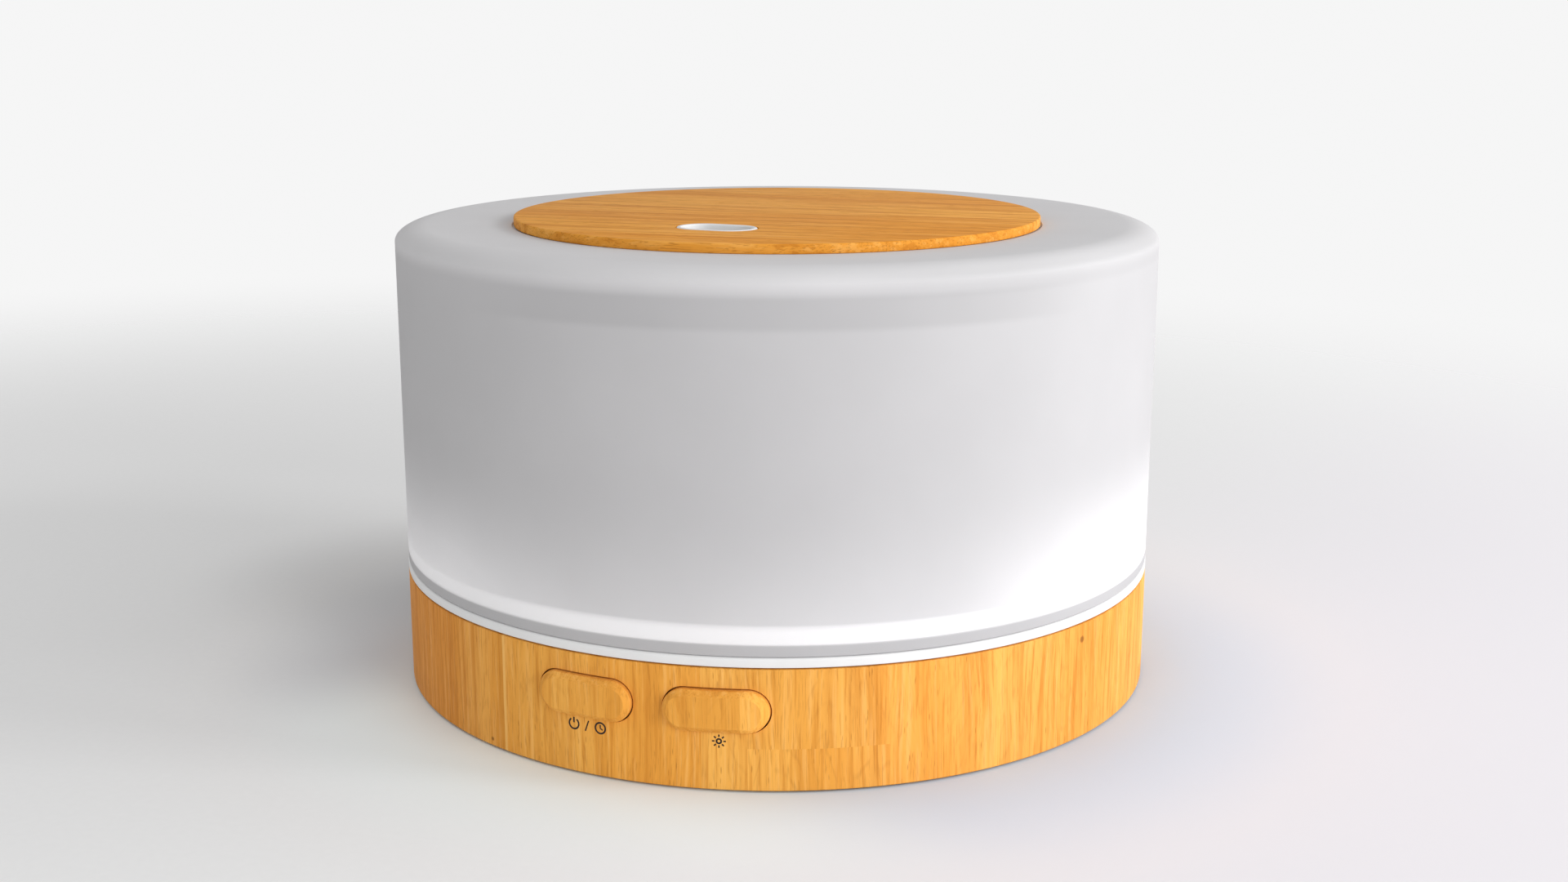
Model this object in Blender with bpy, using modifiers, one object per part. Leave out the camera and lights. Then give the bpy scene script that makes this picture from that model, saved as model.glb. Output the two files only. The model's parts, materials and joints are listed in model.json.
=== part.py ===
"""Ultrasonic essential oil diffuser, built as an assembly of separate pieces.

Lengths are millimetres in this file, and the helpers turn them into metres.
+Z is up and the buttons face -Y. The origin is the centre of the footprint,
on the surface that the diffuser stands on.
"""

import math

import bmesh
import bpy
from mathutils import Matrix, Vector

MM = 0.001
GAP = 0.3  # clearance between touching pieces
ROUND = 48  # steps round the large turned pieces

# Driving dimensions
STAND = 0.4  # how far the feet hold the casing off the surface
CASING_R = 84.0
CASING_WALL = 2.4
CASING_TOP = 25.0
LIP_BASE = CASING_TOP + GAP
LIP_TOP = 27.3
LEDGE_TOP = 29.9
COVER_R = 83.9
COVER_WALL = 2.0
COVER_BASE = LIP_TOP + GAP
COVER_TOP = 101.1
COVER_EDGE_R = 6.9  # top edge rounding, measured across
COVER_EDGE_Z = 3.2  # top edge rounding, measured down
PLATE_R = 58.3
PLATE_TOP = 102.5
PLATE_THICK = 2.0
SLOT_AZIMUTH = -5.25  # degrees from the front, positive towards +X
SLOT_REACH = 32.6  # distance of the mist slot from the axis
SLOT_HALF = (8.7, 5.6)  # half length and half width of the nozzle
NOZZLE_WALL = 1.0
TANK_R = 74.4  # outside of the bowl
TANK_WALL = 2.2
TANK_RIM = 78.0
BOWL_FLOOR = 36.0
FLOOR_UNDER = 34.0
BUTTON_X = 13.45  # centres of the buttons, to each side of the middle
BUTTON_Z = 16.6
BUTTON_HALF = (10.25, 4.2)
BUTTON_PROUD = 1.9
BUTTON_CHAMFER = 1.1
FAN_AT = (46.0, 0.0)
FAN_SIZE = 40.0
FAN_BORE = 18.6
FAN_HOLE = 16.0  # the fan's corner holes stand at +-16 from its axis
FAN_SCREWS = ((30.0, -16.0), (62.0, 16.0))
FAN_BASE = 5.7
FAN_TOP = 15.7
TOWER_AT = (52.0, 0.0)
TOWER_HALF = (7.0, 15.0)
TOWER_WALL = 1.8
TOWER_TOP = 68.0
FLOOR_PLATE_BASE = 1.2
FLOOR_PLATE_TOP = 3.4
SCREW_CORNER = 49.5  # the closing screws stand at (+-49.5, +-49.5)
FOOT_REACH = 71.0  # distance of the feet from the axis
BOARD_LOW = (-66.0, -26.0, 9.0)
BOARD_HIGH = (-24.0, 26.0, 10.6)
BOARD_SCREWS = ((-62.0, 22.0), (-28.0, -22.0))
BUTTON_BOARD_X = 25.0  # half the width of the button board
JACK_Z = 12.5
RETAINER_SCREW_R = 16.2
RETAINER_AZIMUTHS = (0, 120, 240)
LAMP_CIRCLE = 25.0
LAMP_AZIMUTHS = (0, 90, 180, 270)
LAMP_POST_AZIMUTHS = (45, 165, 285)

FINISHES = {
    "wood_grain": ((0.72, 0.41, 0.12), 0.45, 0.0),
    "frosted_plastic": ((0.80, 0.79, 0.81), 0.50, 0.0),
    "white_plastic": ((0.86, 0.86, 0.86), 0.38, 0.0),
    "grey_plastic": ((0.62, 0.62, 0.61), 0.50, 0.0),
    "black_plastic": ((0.03, 0.03, 0.03), 0.45, 0.0),
    "rubber": ((0.05, 0.05, 0.05), 0.85, 0.0),
    "silicone": ((0.75, 0.75, 0.72), 0.60, 0.0),
    "foam": ((0.08, 0.08, 0.08), 0.95, 0.0),
    "steel": ((0.62, 0.62, 0.63), 0.30, 1.0),
    "brass": ((0.75, 0.58, 0.28), 0.30, 1.0),
    "aluminium": ((0.70, 0.71, 0.72), 0.35, 1.0),
    "copper": ((0.72, 0.33, 0.16), 0.35, 1.0),
    "circuit_board": ((0.02, 0.20, 0.08), 0.45, 0.0),
    "lamp": ((0.95, 0.93, 0.82), 0.20, 0.0),
    "red_wire": ((0.50, 0.03, 0.03), 0.50, 0.0),
    "black_wire": ((0.03, 0.03, 0.03), 0.50, 0.0),
}


def clear_scene():
    for thing in list(bpy.data.objects):
        bpy.data.objects.remove(thing, do_unlink=True)


def new_group(name):
    group = bpy.data.collections.new(name)
    bpy.context.scene.collection.children.link(group)
    return group


clear_scene()
PIECES = new_group("essential_oil_diffuser")
CUTTERS = new_group("cutters")


# ---------------------------------------------------------------- helpers


def give_finish(thing, finish):
    colour, roughness, metallic = FINISHES[finish]
    material = bpy.data.materials.new(f"{thing.name}_{finish}")
    material.use_nodes = True
    shader = material.node_tree.nodes["Principled BSDF"]
    shader.inputs["Base Color"].default_value = (*colour, 1.0)
    shader.inputs["Roughness"].default_value = roughness
    shader.inputs["Metallic"].default_value = metallic
    material.diffuse_color = (*colour, 1.0)
    thing.data.materials.clear()
    thing.data.materials.append(material)


def add_piece(name, mesh, at=(0, 0, 0), finish=None):
    """Put a mesh in the scene: a piece when it has a finish, or else a helper solid."""
    thing = bpy.data.objects.new(name, mesh)
    thing.location = Vector(at) * MM
    if finish:
        PIECES.objects.link(thing)
        give_finish(thing, finish)
    else:
        CUTTERS.objects.link(thing)
        thing.hide_render = True
        thing.display_type = "WIRE"
    return thing


def turned(name, profile, at=(0, 0, 0), finish=None, steps=ROUND, closed=False, tilt=None):
    """Turn a profile of (radius, height) about Z, listed down its outer side.

    A closed profile makes a ring, and an open one starts and ends on the axis.
    """
    mesh = bpy.data.meshes.new(name)
    count = len(profile)
    edges = [(i, i + 1) for i in range(count - 1)]
    if closed:
        edges.append((count - 1, 0))
    mesh.from_pydata([(r * MM, 0, z * MM) for r, z in profile], edges, [])
    thing = add_piece(name, mesh, at, finish)
    if tilt:
        thing.rotation_euler = [math.radians(angle) for angle in tilt]
    screw = thing.modifiers.new("turn", "SCREW")
    screw.steps = steps
    screw.render_steps = steps
    screw.use_merge_vertices = True
    screw.merge_threshold = 0.00001
    screw.use_smooth_shade = False
    return thing


def disc(name, radius, low, high, at=(0, 0), finish=None, steps=16):
    """A plain upright cylinder between two heights."""
    return turned(name, [(0, high), (radius, high), (radius, low), (0, low)],
                  (at[0], at[1], 0), finish, steps)


def ring(name, outer, inner, low, high, at=(0, 0), finish=None, steps=24):
    profile = [(outer, high), (outer, low), (inner, low), (inner, high)]
    return turned(name, profile, (at[0], at[1], 0), finish, steps, closed=True)


def box(name, low, high, finish=None, bevel=0.0):
    """A box between two corners, with its origin at its centre."""
    low, high = Vector(low), Vector(high)
    solid = bmesh.new()
    bmesh.ops.create_cube(solid, size=1.0)
    bmesh.ops.scale(solid, vec=(high - low) * MM, verts=solid.verts)
    mesh = bpy.data.meshes.new(name)
    solid.to_mesh(mesh)
    solid.free()
    thing = add_piece(name, mesh, (low + high) / 2, finish)
    if bevel:
        soften(thing, bevel, 1)
    return thing


def rod(name, radius, start, end, finish=None, sides=16):
    """A round bar between two points."""
    start, end = Vector(start), Vector(end)
    run = end - start
    turn = Vector((0, 0, 1)).rotation_difference(run).to_matrix().to_4x4()
    solid = bmesh.new()
    bmesh.ops.create_cone(solid, cap_ends=True, segments=sides, radius1=radius * MM,
                          radius2=radius * MM, depth=run.length * MM, matrix=turn)
    mesh = bpy.data.meshes.new(name)
    solid.to_mesh(mesh)
    solid.free()
    return add_piece(name, mesh, (start + end) / 2, finish)


def soften(thing, width, segments=2, angle=40):
    bevel = thing.modifiers.new("soft edges", "BEVEL")
    bevel.width = width * MM
    bevel.segments = segments
    bevel.limit_method = "ANGLE"
    bevel.angle_limit = math.radians(angle)
    bevel.use_clamp_overlap = True


def stadium(half_length, half_width, steps=8):
    """The outline of a slot with round ends, along X."""
    straight = half_length - half_width
    outline = []
    for side, first in ((1, -90), (-1, 90)):
        for step in range(steps + 1):
            angle = math.radians(first + 180 * step / steps)
            outline.append((side * straight + half_width * math.cos(angle),
                            half_width * math.sin(angle)))
    return outline


def rounded_box(half_x, half_y, radius, steps=3):
    """The outline of a rectangle with round corners."""
    outline = []
    for corner in range(4):
        x = (half_x - radius) * (1 if corner in (0, 3) else -1)
        y = (half_y - radius) * (1 if corner in (0, 1) else -1)
        for step in range(steps + 1):
            angle = math.radians(90 * corner + 90 * step / steps)
            outline.append((x + radius * math.cos(angle), y + radius * math.sin(angle)))
    return outline


def prism(name, outlines, low, high, at=(0, 0), finish=None, turn=0.0):
    """A flat outline, with any hole as a second outline, raised between two heights."""
    curve = bpy.data.curves.new(name, "CURVE")
    curve.dimensions = "2D"
    curve.fill_mode = "BOTH"
    curve.extrude = (high - low) / 2 * MM
    for outline in outlines:
        spline = curve.splines.new("POLY")
        spline.points.add(len(outline) - 1)
        for point, (x, y) in zip(spline.points, outline):
            point.co = (x * MM, y * MM, 0, 1)
        spline.use_cyclic_u = True
    drawn = bpy.data.objects.new(name + "_curve", curve)
    CUTTERS.objects.link(drawn)
    mesh = mesh_of(drawn)
    mesh.transform(Matrix.Rotation(math.radians(turn), 4, "Z"))
    return add_piece(name, mesh, (at[0], at[1], (low + high) / 2), finish)


def mesh_of(drawn):
    """Turn a curve object into a welded mesh, and remove the curve."""
    bpy.context.view_layer.update()
    mesh = bpy.data.meshes.new_from_object(drawn.evaluated_get(bpy.context.evaluated_depsgraph_get()))
    solid = bmesh.new()
    solid.from_mesh(mesh)
    bmesh.ops.remove_doubles(solid, verts=solid.verts, dist=0.000001)
    solid.to_mesh(mesh)
    solid.free()
    bpy.data.objects.remove(drawn, do_unlink=True)
    return mesh


def combine(thing, other, operation):
    """Cut or join another solid, which becomes a hidden helper."""
    boolean = thing.modifiers.new(operation.lower(), "BOOLEAN")
    boolean.operation = operation
    boolean.solver = "EXACT"
    boolean.object = other
    other.hide_render = True
    other.display_type = "WIRE"


def cut(thing, *tools):
    for tool in tools:
        combine(thing, tool, "DIFFERENCE")


def join(thing, *others):
    for other in others:
        combine(thing, other, "UNION")


def keep_inside(thing, tool):
    combine(thing, tool, "INTERSECT")


def wire(name, route, diameter, finish, samples=2):
    """A round wire along a smooth curve through hand-chosen points."""
    points = [Vector(point) for point in route]
    ends = [points[0] * 2 - points[1]] + points + [points[-1] * 2 - points[-2]]
    smooth = []
    for i in range(len(points) - 1):
        p0, p1, p2, p3 = ends[i:i + 4]
        for step in range(samples):
            t = step / samples
            smooth.append(0.5 * (2 * p1 + (p2 - p0) * t + (2 * p0 - 5 * p1 + 4 * p2 - p3) * t * t
                                 + (3 * p1 - p0 - 3 * p2 + p3) * t ** 3))
    smooth.append(points[-1])
    curve = bpy.data.curves.new(name, "CURVE")
    curve.dimensions = "3D"
    curve.bevel_depth = diameter / 2 * MM
    curve.bevel_resolution = 2
    curve.use_fill_caps = True
    spline = curve.splines.new("POLY")
    spline.points.add(len(smooth) - 1)
    for point, place in zip(spline.points, smooth):
        point.co = (*(place * MM), 1)
    thing = bpy.data.objects.new(name, curve)
    PIECES.objects.link(thing)
    give_finish(thing, finish)
    return thing


def screw_piece(name, at, head_r, head_h, shank_r, length, up=True, finish="steel"):
    """A pan head screw. Its origin is under its head, and its shank runs up or down."""
    profile = [(0, length), (shank_r, length), (shank_r, 0), (head_r, 0),
               (head_r * 0.85, -head_h), (0, -head_h)]
    tilt = None if up else (180, 0, 0)
    return turned(name, profile, at, finish, steps=12, tilt=tilt)


def moving(name, at, members):
    """An empty on a joint's axis that carries the pieces that move together."""
    carrier = bpy.data.objects.new(name, None)
    carrier.location = Vector(at) * MM
    PIECES.objects.link(carrier)
    bpy.context.view_layer.update()
    for piece in members:
        piece.parent = carrier
        piece.matrix_parent_inverse = carrier.matrix_world.inverted()
    return carrier


def arc(centre, radii, first, last, steps):
    """Points of an elliptical arc, in degrees, for a profile."""
    points = []
    for step in range(steps + 1):
        angle = math.radians(first + (last - first) * step / steps)
        points.append((centre[0] + radii[0] * math.cos(angle),
                       centre[1] + radii[1] * math.sin(angle)))
    return points


def polar(radius, azimuth):
    """Where a point stands at an azimuth from the front, positive towards +X."""
    angle = math.radians(azimuth)
    return (radius * math.sin(angle), -radius * math.cos(angle))


SLOT_AT = polar(SLOT_REACH, SLOT_AZIMUTH)


# ---------------------------------------------------------------- cover


def slot_prism(name, extra, low, high):
    """A solid that fills the mist slot, larger all round by extra."""
    outline = stadium(SLOT_HALF[0] + extra, SLOT_HALF[1] + extra)
    return prism(name, [outline], low, high, SLOT_AT, turn=SLOT_AZIMUTH)


def slot_tube(name, outer, inner, low, high, finish):
    """A tube of the mist slot's outline; outer and inner are offsets from the nozzle's."""
    outlines = [stadium(SLOT_HALF[0] + offset, SLOT_HALF[1] + offset) for offset in (outer, inner)]
    return prism(name, outlines, low, high, SLOT_AT, finish, SLOT_AZIMUTH)


def make_frosted_cover():
    seat_r = PLATE_R + GAP
    seat_z = PLATE_TOP - PLATE_THICK - GAP
    inner_r = COVER_R - COVER_WALL
    rim_under, centre_under, inner_round = 96.1, 98.4, 6.2
    profile = [(0, seat_z), (seat_r, seat_z), (seat_r, COVER_TOP)]
    profile += arc((COVER_R - COVER_EDGE_R, COVER_TOP - COVER_EDGE_Z),
                   (COVER_EDGE_R, COVER_EDGE_Z), 90, 0, 4)
    profile += [(COVER_R, COVER_BASE + 0.3), (COVER_R - 0.3, COVER_BASE), (inner_r, COVER_BASE)]
    profile += arc((inner_r - inner_round, rim_under - inner_round),
                   (inner_round, inner_round), 0, 90, 3)
    profile += [(70.0, rim_under), (68.0, centre_under), (0, centre_under)]
    cover = turned("frosted_cover", profile, finish="frosted_plastic")
    cut(cover, slot_prism("cover_slot_cutter", GAP, 90, 110))
    return cover


def make_top_plate():
    low, high = PLATE_TOP - PLATE_THICK, PLATE_TOP
    profile = [(0, high), (PLATE_R - 0.4, high), (PLATE_R, high - 0.4), (PLATE_R, low), (0, low)]
    plate = turned("top_plate", profile, finish="wood_grain")
    cut(plate, slot_prism("plate_slot_cutter", GAP, 90, 110))
    return plate


def make_cover_pieces():
    nozzle = slot_tube("mist_nozzle", 0, -NOZZLE_WALL, 98.4, PLATE_TOP + 0.1, "white_plastic")
    chimney = slot_tube("mist_chimney", 0, -NOZZLE_WALL, 80.0, 98.1, "white_plastic")
    flange = prism("chimney_flange", [stadium(SLOT_HALF[0] + 2.5, SLOT_HALF[1] + 2.5),
                                      stadium(SLOT_HALF[0] - 0.4, SLOT_HALF[1] - 0.4)],
                   96.6, 98.1, SLOT_AT, turn=SLOT_AZIMUTH)
    join(chimney, flange)
    return [make_frosted_cover(), make_top_plate(), nozzle, chimney]


# ---------------------------------------------------------------- tank


def make_water_tank():
    bowl_r = TANK_R - TANK_WALL
    skirt_r = CASING_R - CASING_WALL - GAP
    well_r, well_base, seat_r, seat_z, hole_r = 13.0, 30.0, 11.0, 32.6, 8.0
    profile = [(bowl_r + 1.1, TANK_RIM), (TANK_R - 0.3, TANK_RIM - 0.3), (TANK_R, TANK_RIM - 1.0)]
    profile += arc((TANK_R + 3.0, LEDGE_TOP + 3.0), (3.0, 3.0), 180, 270, 2)
    profile += [(skirt_r - 0.4, LEDGE_TOP), (skirt_r, LEDGE_TOP - 0.4), (skirt_r, LIP_TOP),
                (CASING_R - 0.7, LIP_TOP), (CASING_R, LIP_TOP - 0.7), (CASING_R, LIP_BASE),
                (skirt_r, LIP_BASE), (skirt_r, 23.0), (skirt_r - 2.0, 23.0),
                (skirt_r - 2.0, LEDGE_TOP - 2.0), (bowl_r, LEDGE_TOP - 2.0),
                (bowl_r, FLOOR_UNDER), (well_r, FLOOR_UNDER), (well_r, well_base),
                (seat_r, well_base), (seat_r, seat_z), (hole_r, seat_z), (hole_r, 34.6),
                (10.0, 35.2)]
    profile += arc((bowl_r - 8.0, BOWL_FLOOR + 8.0), (8.0, 8.0), 270, 360, 3)
    profile += [(bowl_r, TANK_RIM - 1.0)]
    tank = turned("water_tank", profile, finish="white_plastic", closed=True)

    for x in (-SCREW_CORNER, SCREW_CORNER):
        for y in (-SCREW_CORNER, SCREW_CORNER):
            join(tank, disc("closing_boss", 3.6, FLOOR_PLATE_TOP + GAP, 34.8, (x, y), steps=12))
            cut(tank, disc("closing_pilot", 1.9, 0, 15.0, (x, y), steps=12))
    for azimuth in RETAINER_AZIMUTHS:
        at = polar(RETAINER_SCREW_R, azimuth)
        join(tank, disc("retainer_boss", 2.6, 29.5, 34.6, at, steps=12))
        cut(tank, disc("retainer_pilot", 1.3, 20, 33.4, at, steps=10))
    for azimuth in LAMP_POST_AZIMUTHS:
        at = polar(LAMP_CIRCLE, azimuth)
        join(tank, disc("lamp_post", 2.0, 28.9, 34.8, at, steps=12))
        join(tank, disc("lamp_pin", 1.0, 26.2, 30.0, at, steps=10))
    join(tank, prism("tower", [rounded_box(*TOWER_HALF, 3.0)], 34.8, TOWER_TOP, TOWER_AT))
    hollow = [half - TOWER_WALL for half in TOWER_HALF]
    cut(tank, prism("tower_hollow", [rounded_box(*hollow, 1.6)], 20, 80, TOWER_AT))
    return tank


def make_air_outlet_hood():
    """A cap over the air tower, open on the side that faces the middle of the bowl."""
    clear = [half + GAP for half in TOWER_HALF]
    outer = [half + 1.8 for half in TOWER_HALF]
    hood = prism("air_outlet_hood", [rounded_box(*outer, 4.6)], 62.0, 77.0, TOWER_AT,
                 "white_plastic")
    cut(hood, prism("hood_hollow", [rounded_box(*clear, 3.2)], 50.0, 75.0, TOWER_AT))
    x = TOWER_AT[0]
    cut(hood, box("hood_window", (x - 20, -11, TOWER_TOP + 0.5), (x, 11, 74.2)))
    return hood


# ---------------------------------------------------------------- atomizer and lamps


def make_atomizer():
    disc("atomizer_disc", 10.0, 30.7, 31.3, finish="brass", steps=24)
    ring("atomizer_seal", 10.7, 7.6, 31.6, 32.3, finish="silicone", steps=24)
    retainer = turned("atomizer_retainer",
                      [(10.4, 30.4), (10.4, 29.2), (19.0, 29.2), (19.0, 27.2), (6.0, 27.2),
                       (6.0, 29.2), (8.4, 29.2), (8.4, 30.4)],
                      finish="grey_plastic", steps=24, closed=True)
    for number, azimuth in enumerate(RETAINER_AZIMUTHS, 1):
        x, y = polar(RETAINER_SCREW_R, azimuth)
        cut(retainer, disc("retainer_hole", 1.3, 20, 40, (x, y), steps=10))
        screw_piece(f"retainer_screw_{number}", (x, y, 26.9), 2.1, 1.2, 1.0, 5.8)


def make_lamps():
    board = ring("led_board", 29.0, 20.5, 27.0, 28.6, finish="circuit_board", steps=32)
    for azimuth in LAMP_POST_AZIMUTHS:
        cut(board, disc("lamp_pin_hole", 1.3, 20, 40, polar(LAMP_CIRCLE, azimuth), steps=10))
    for number, azimuth in enumerate(LAMP_AZIMUTHS, 1):
        x, y = polar(LAMP_CIRCLE, azimuth)
        profile = arc((0, 1.8), (2.2, 2.2), 90, 0, 3)
        profile[0] = (0, 4.0)
        profile += [(2.2, 0.8), (2.8, 0.8), (2.8, 0), (0, 0)]
        turned(f"led_{number}", profile, (x, y, 28.9), "lamp", steps=10)


# ---------------------------------------------------------------- base


def button_outline(extra, low_y, high_y, x, name):
    """A solid along Y with the button's outline, larger all round by extra."""
    outline = stadium(BUTTON_HALF[0] + extra, BUTTON_HALF[1] + extra)
    solid = prism(name, [outline], low_y, high_y)
    solid.data.transform(Matrix.Rotation(math.radians(90), 4, "X"))
    solid.location = Vector((x, (low_y + high_y) / 2, BUTTON_Z)) * MM
    return solid


def make_base_ring():
    inner = CASING_R - CASING_WALL
    rib_r = inner - 2.0
    profile = [(CASING_R - 0.3, CASING_TOP), (CASING_R, CASING_TOP - 0.3),
               (CASING_R, STAND + 0.3), (CASING_R - 0.3, STAND), (inner, STAND),
               (inner, 3.7), (rib_r, 3.7), (rib_r, 5.2), (inner, 5.2), (inner, CASING_TOP)]
    casing = turned("base_ring", profile, finish="wood_grain", closed=True, steps=ROUND)
    for side in (-1, 1):
        cut(casing, button_outline(GAP, -100, -60, side * BUTTON_X, "button_hole"))
    cut(casing, rod("jack_hole", 4.3, (0, 60, JACK_Z), (0, 100, JACK_Z), sides=24))
    return casing


def make_floor_plate():
    radius = CASING_R - CASING_WALL - GAP
    base, top = FLOOR_PLATE_BASE, FLOOR_PLATE_TOP
    plate = turned("bottom_cover", [(0, top), (radius, top), (radius, base + 0.4),
                                    (radius - 0.4, base), (0, base)],
                   finish="white_plastic")
    for x in (-62.0, -28.0):
        for y in (-22.0, 22.0):
            join(plate, disc("board_post", 2.7, 2.6, BOARD_LOW[2] - GAP, (x, y), steps=12))
    for x, y in BOARD_SCREWS:
        cut(plate, disc("board_pilot", 1.5, 4.0, 20, (x, y), steps=10))
    for x, y in fan_corners():
        join(plate, disc("fan_post", 3.2, 2.6, FAN_BASE - GAP, (x, y), steps=12))
    for x, y in FAN_SCREWS:
        cut(plate, disc("fan_pilot", 1.7, 2.2, 20, (x, y), steps=10))
    join(plate, box("jack_saddle", (-5.0, 69.0, 2.6), (5.0, 78.6, 7.0)))
    for side in (-1, 1):
        ends = sorted((side * 23.0, side * 29.0))
        guide = box("board_guide", (ends[0], -73.5, 2.6), (ends[1], -68.2, 20.0))
        groove = box("guide_groove", (-BUTTON_BOARD_X - GAP, -72.0, 8.7),
                     (BUTTON_BOARD_X + GAP, -69.8, 30.0))
        cut(guide, groove)
        join(plate, guide)
    for x in (-SCREW_CORNER, SCREW_CORNER):
        for y in (-SCREW_CORNER, SCREW_CORNER):
            cut(plate, disc("closing_hole", 1.9, 0, 6, (x, y), steps=12))
            cut(plate, disc("closing_sink", 3.6, 0, 2.3, (x, y), steps=16))
    for x, y in foot_places():
        cut(plate, disc("foot_seat", 7.3, 0, 1.8, (x, y), steps=20))
    for slot in range(-3, 4):
        offset = slot * 4.6
        half = math.sqrt(17.0 ** 2 - offset ** 2) - 1.2
        x, y = FAN_AT
        cut(plate, box("intake_slot", (x - half, y + offset - 1.3, 0),
                       (x + half, y + offset + 1.3, 6)))
    return plate


def foot_places():
    return [polar(FOOT_REACH, azimuth) for azimuth in (0, 90, 180, 270)]


def make_feet_and_screws():
    for number, (x, y) in enumerate(foot_places(), 1):
        turned(f"rubber_foot_{number}", [(0, 1.5), (7.0, 1.5), (7.0, 0.5), (6.5, 0), (0, 0)],
               (x, y, 0), "rubber", steps=16)
    number = 0
    for x in (-SCREW_CORNER, SCREW_CORNER):
        for y in (-SCREW_CORNER, SCREW_CORNER):
            number += 1
            screw_piece(f"bottom_screw_{number}", (x, y, 2.0), 3.2, 1.4, 1.6, 11.0)


# ---------------------------------------------------------------- fan and duct


def fan_corners():
    offsets = (-FAN_HOLE, FAN_HOLE)
    return [(FAN_AT[0] + dx, FAN_AT[1] + dy) for dx in offsets for dy in offsets]


def make_fan():
    x, y = FAN_AT
    half = FAN_SIZE / 2
    housing = prism("fan_housing", [rounded_box(half, half, 3.0)], FAN_BASE, FAN_TOP,
                    FAN_AT, "black_plastic")
    cut(housing, disc("fan_bore", FAN_BORE, 0, 30, FAN_AT, steps=32))
    for corner in fan_corners():
        cut(housing, disc("fan_hole", 2.1, 0, 30, corner, steps=12))
    for angle in (30, 150, 270):
        strut = box("fan_strut", (6.0, -1.2, 0.3), (FAN_BORE + 0.8, 1.2, 1.5))
        turn_about(strut, (x, y, FAN_BASE), angle)
        join(housing, strut)
    join(housing, disc("motor_seat", 8.4, FAN_BASE + 0.1, FAN_BASE + 1.7, FAN_AT, steps=20))
    join(housing, disc("bearing_tube", 2.5, FAN_BASE + 1.0, 12.8, FAN_AT, steps=12))
    cut(housing, disc("bearing_bore", 1.35, 7.0, 30, FAN_AT, steps=12))
    ring("fan_stator", 7.0, 2.9, 7.7, 12.4, FAN_AT, "copper", steps=18)
    for number, (sx, sy) in enumerate(FAN_SCREWS, 1):
        screw_piece(f"fan_screw_{number}", (sx, sy, 16.0), 2.4, 1.4, 1.4, 13.0, up=False)


def turn_about(thing, centre, angle):
    """Move a solid built about the origin to a centre, turned about Z."""
    turn = Matrix.Rotation(math.radians(angle), 4, "Z")
    thing.data.transform(turn @ Matrix.Translation(thing.location))
    thing.location = Vector(centre) * MM


def make_fan_rotor():
    x, y = FAN_AT
    rotor = turned("fan_rotor", [(0, 15.2), (8.9, 15.2), (9.5, 14.6), (9.5, 7.7), (8.2, 7.7),
                                 (8.2, 13.4), (1.35, 13.4), (1.35, 14.4), (0, 14.4)],
                   (x, y, 0), "black_plastic", steps=24)
    blades = 7
    for blade in range(blades):
        fin = box("fan_blade", (8.6, -0.6, -4.4), (17.8, 0.6, 4.4))
        fin.data.transform(Matrix.Rotation(math.radians(48), 4, "X"))
        turn_about(fin, (x, y, 11.2), 360 * blade / blades)
        join(rotor, fin)
    shaft = disc("fan_shaft", 1.0, 7.4, 14.1, FAN_AT, "steel", steps=12)
    return moving("fan_axis", (x, y, 11.2), [rotor, shaft])


def make_air_duct():
    """A thin duct that turns from the fan's round bore to the tower's oblong hole."""
    sections = 5  # the first and the last stretch are straight
    low, high = FAN_TOP + GAP, 31.9
    count = 24
    skin = bmesh.new()
    rows = []
    for section in range(sections + 1):
        share = section / sections
        blend = min(max((share * sections - 1) / (sections - 2), 0), 1)
        ease = blend * blend * (3 - 2 * blend)
        row = []
        for step in range(count):
            angle = 2 * math.pi * step / count
            c, s = math.cos(angle), math.sin(angle)
            start = Vector((FAN_AT[0] + 19.7 * c, FAN_AT[1] + 19.7 * s))
            reach = (abs(c / TOWER_HALF[0]) ** 5 + abs(s / TOWER_HALF[1]) ** 5) ** (-1 / 5)
            end = Vector((TOWER_AT[0] + reach * c, TOWER_AT[1] + reach * s))
            place = start.lerp(end, ease)
            row.append(skin.verts.new((place.x * MM, place.y * MM,
                                       (low + (high - low) * share) * MM)))
        rows.append(row)
    for below, above in zip(rows, rows[1:]):
        for i in range(count):
            j = (i + 1) % count
            skin.faces.new((below[i], below[j], above[j], above[i]))
    mesh = bpy.data.meshes.new("air_duct")
    skin.to_mesh(mesh)
    skin.free()
    duct = add_piece("air_duct", mesh, finish="grey_plastic")
    wall = duct.modifiers.new("wall", "SOLIDIFY")
    wall.thickness = 1.3 * MM
    wall.offset = -1
    outer = [half + 1.0 for half in TOWER_HALF]
    prism("duct_gasket", [rounded_box(*outer, 3.0), rounded_box(5.4, 13.4, 1.5)],
          32.2, 33.7, TOWER_AT, "foam")


# ---------------------------------------------------------------- electronics


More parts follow.
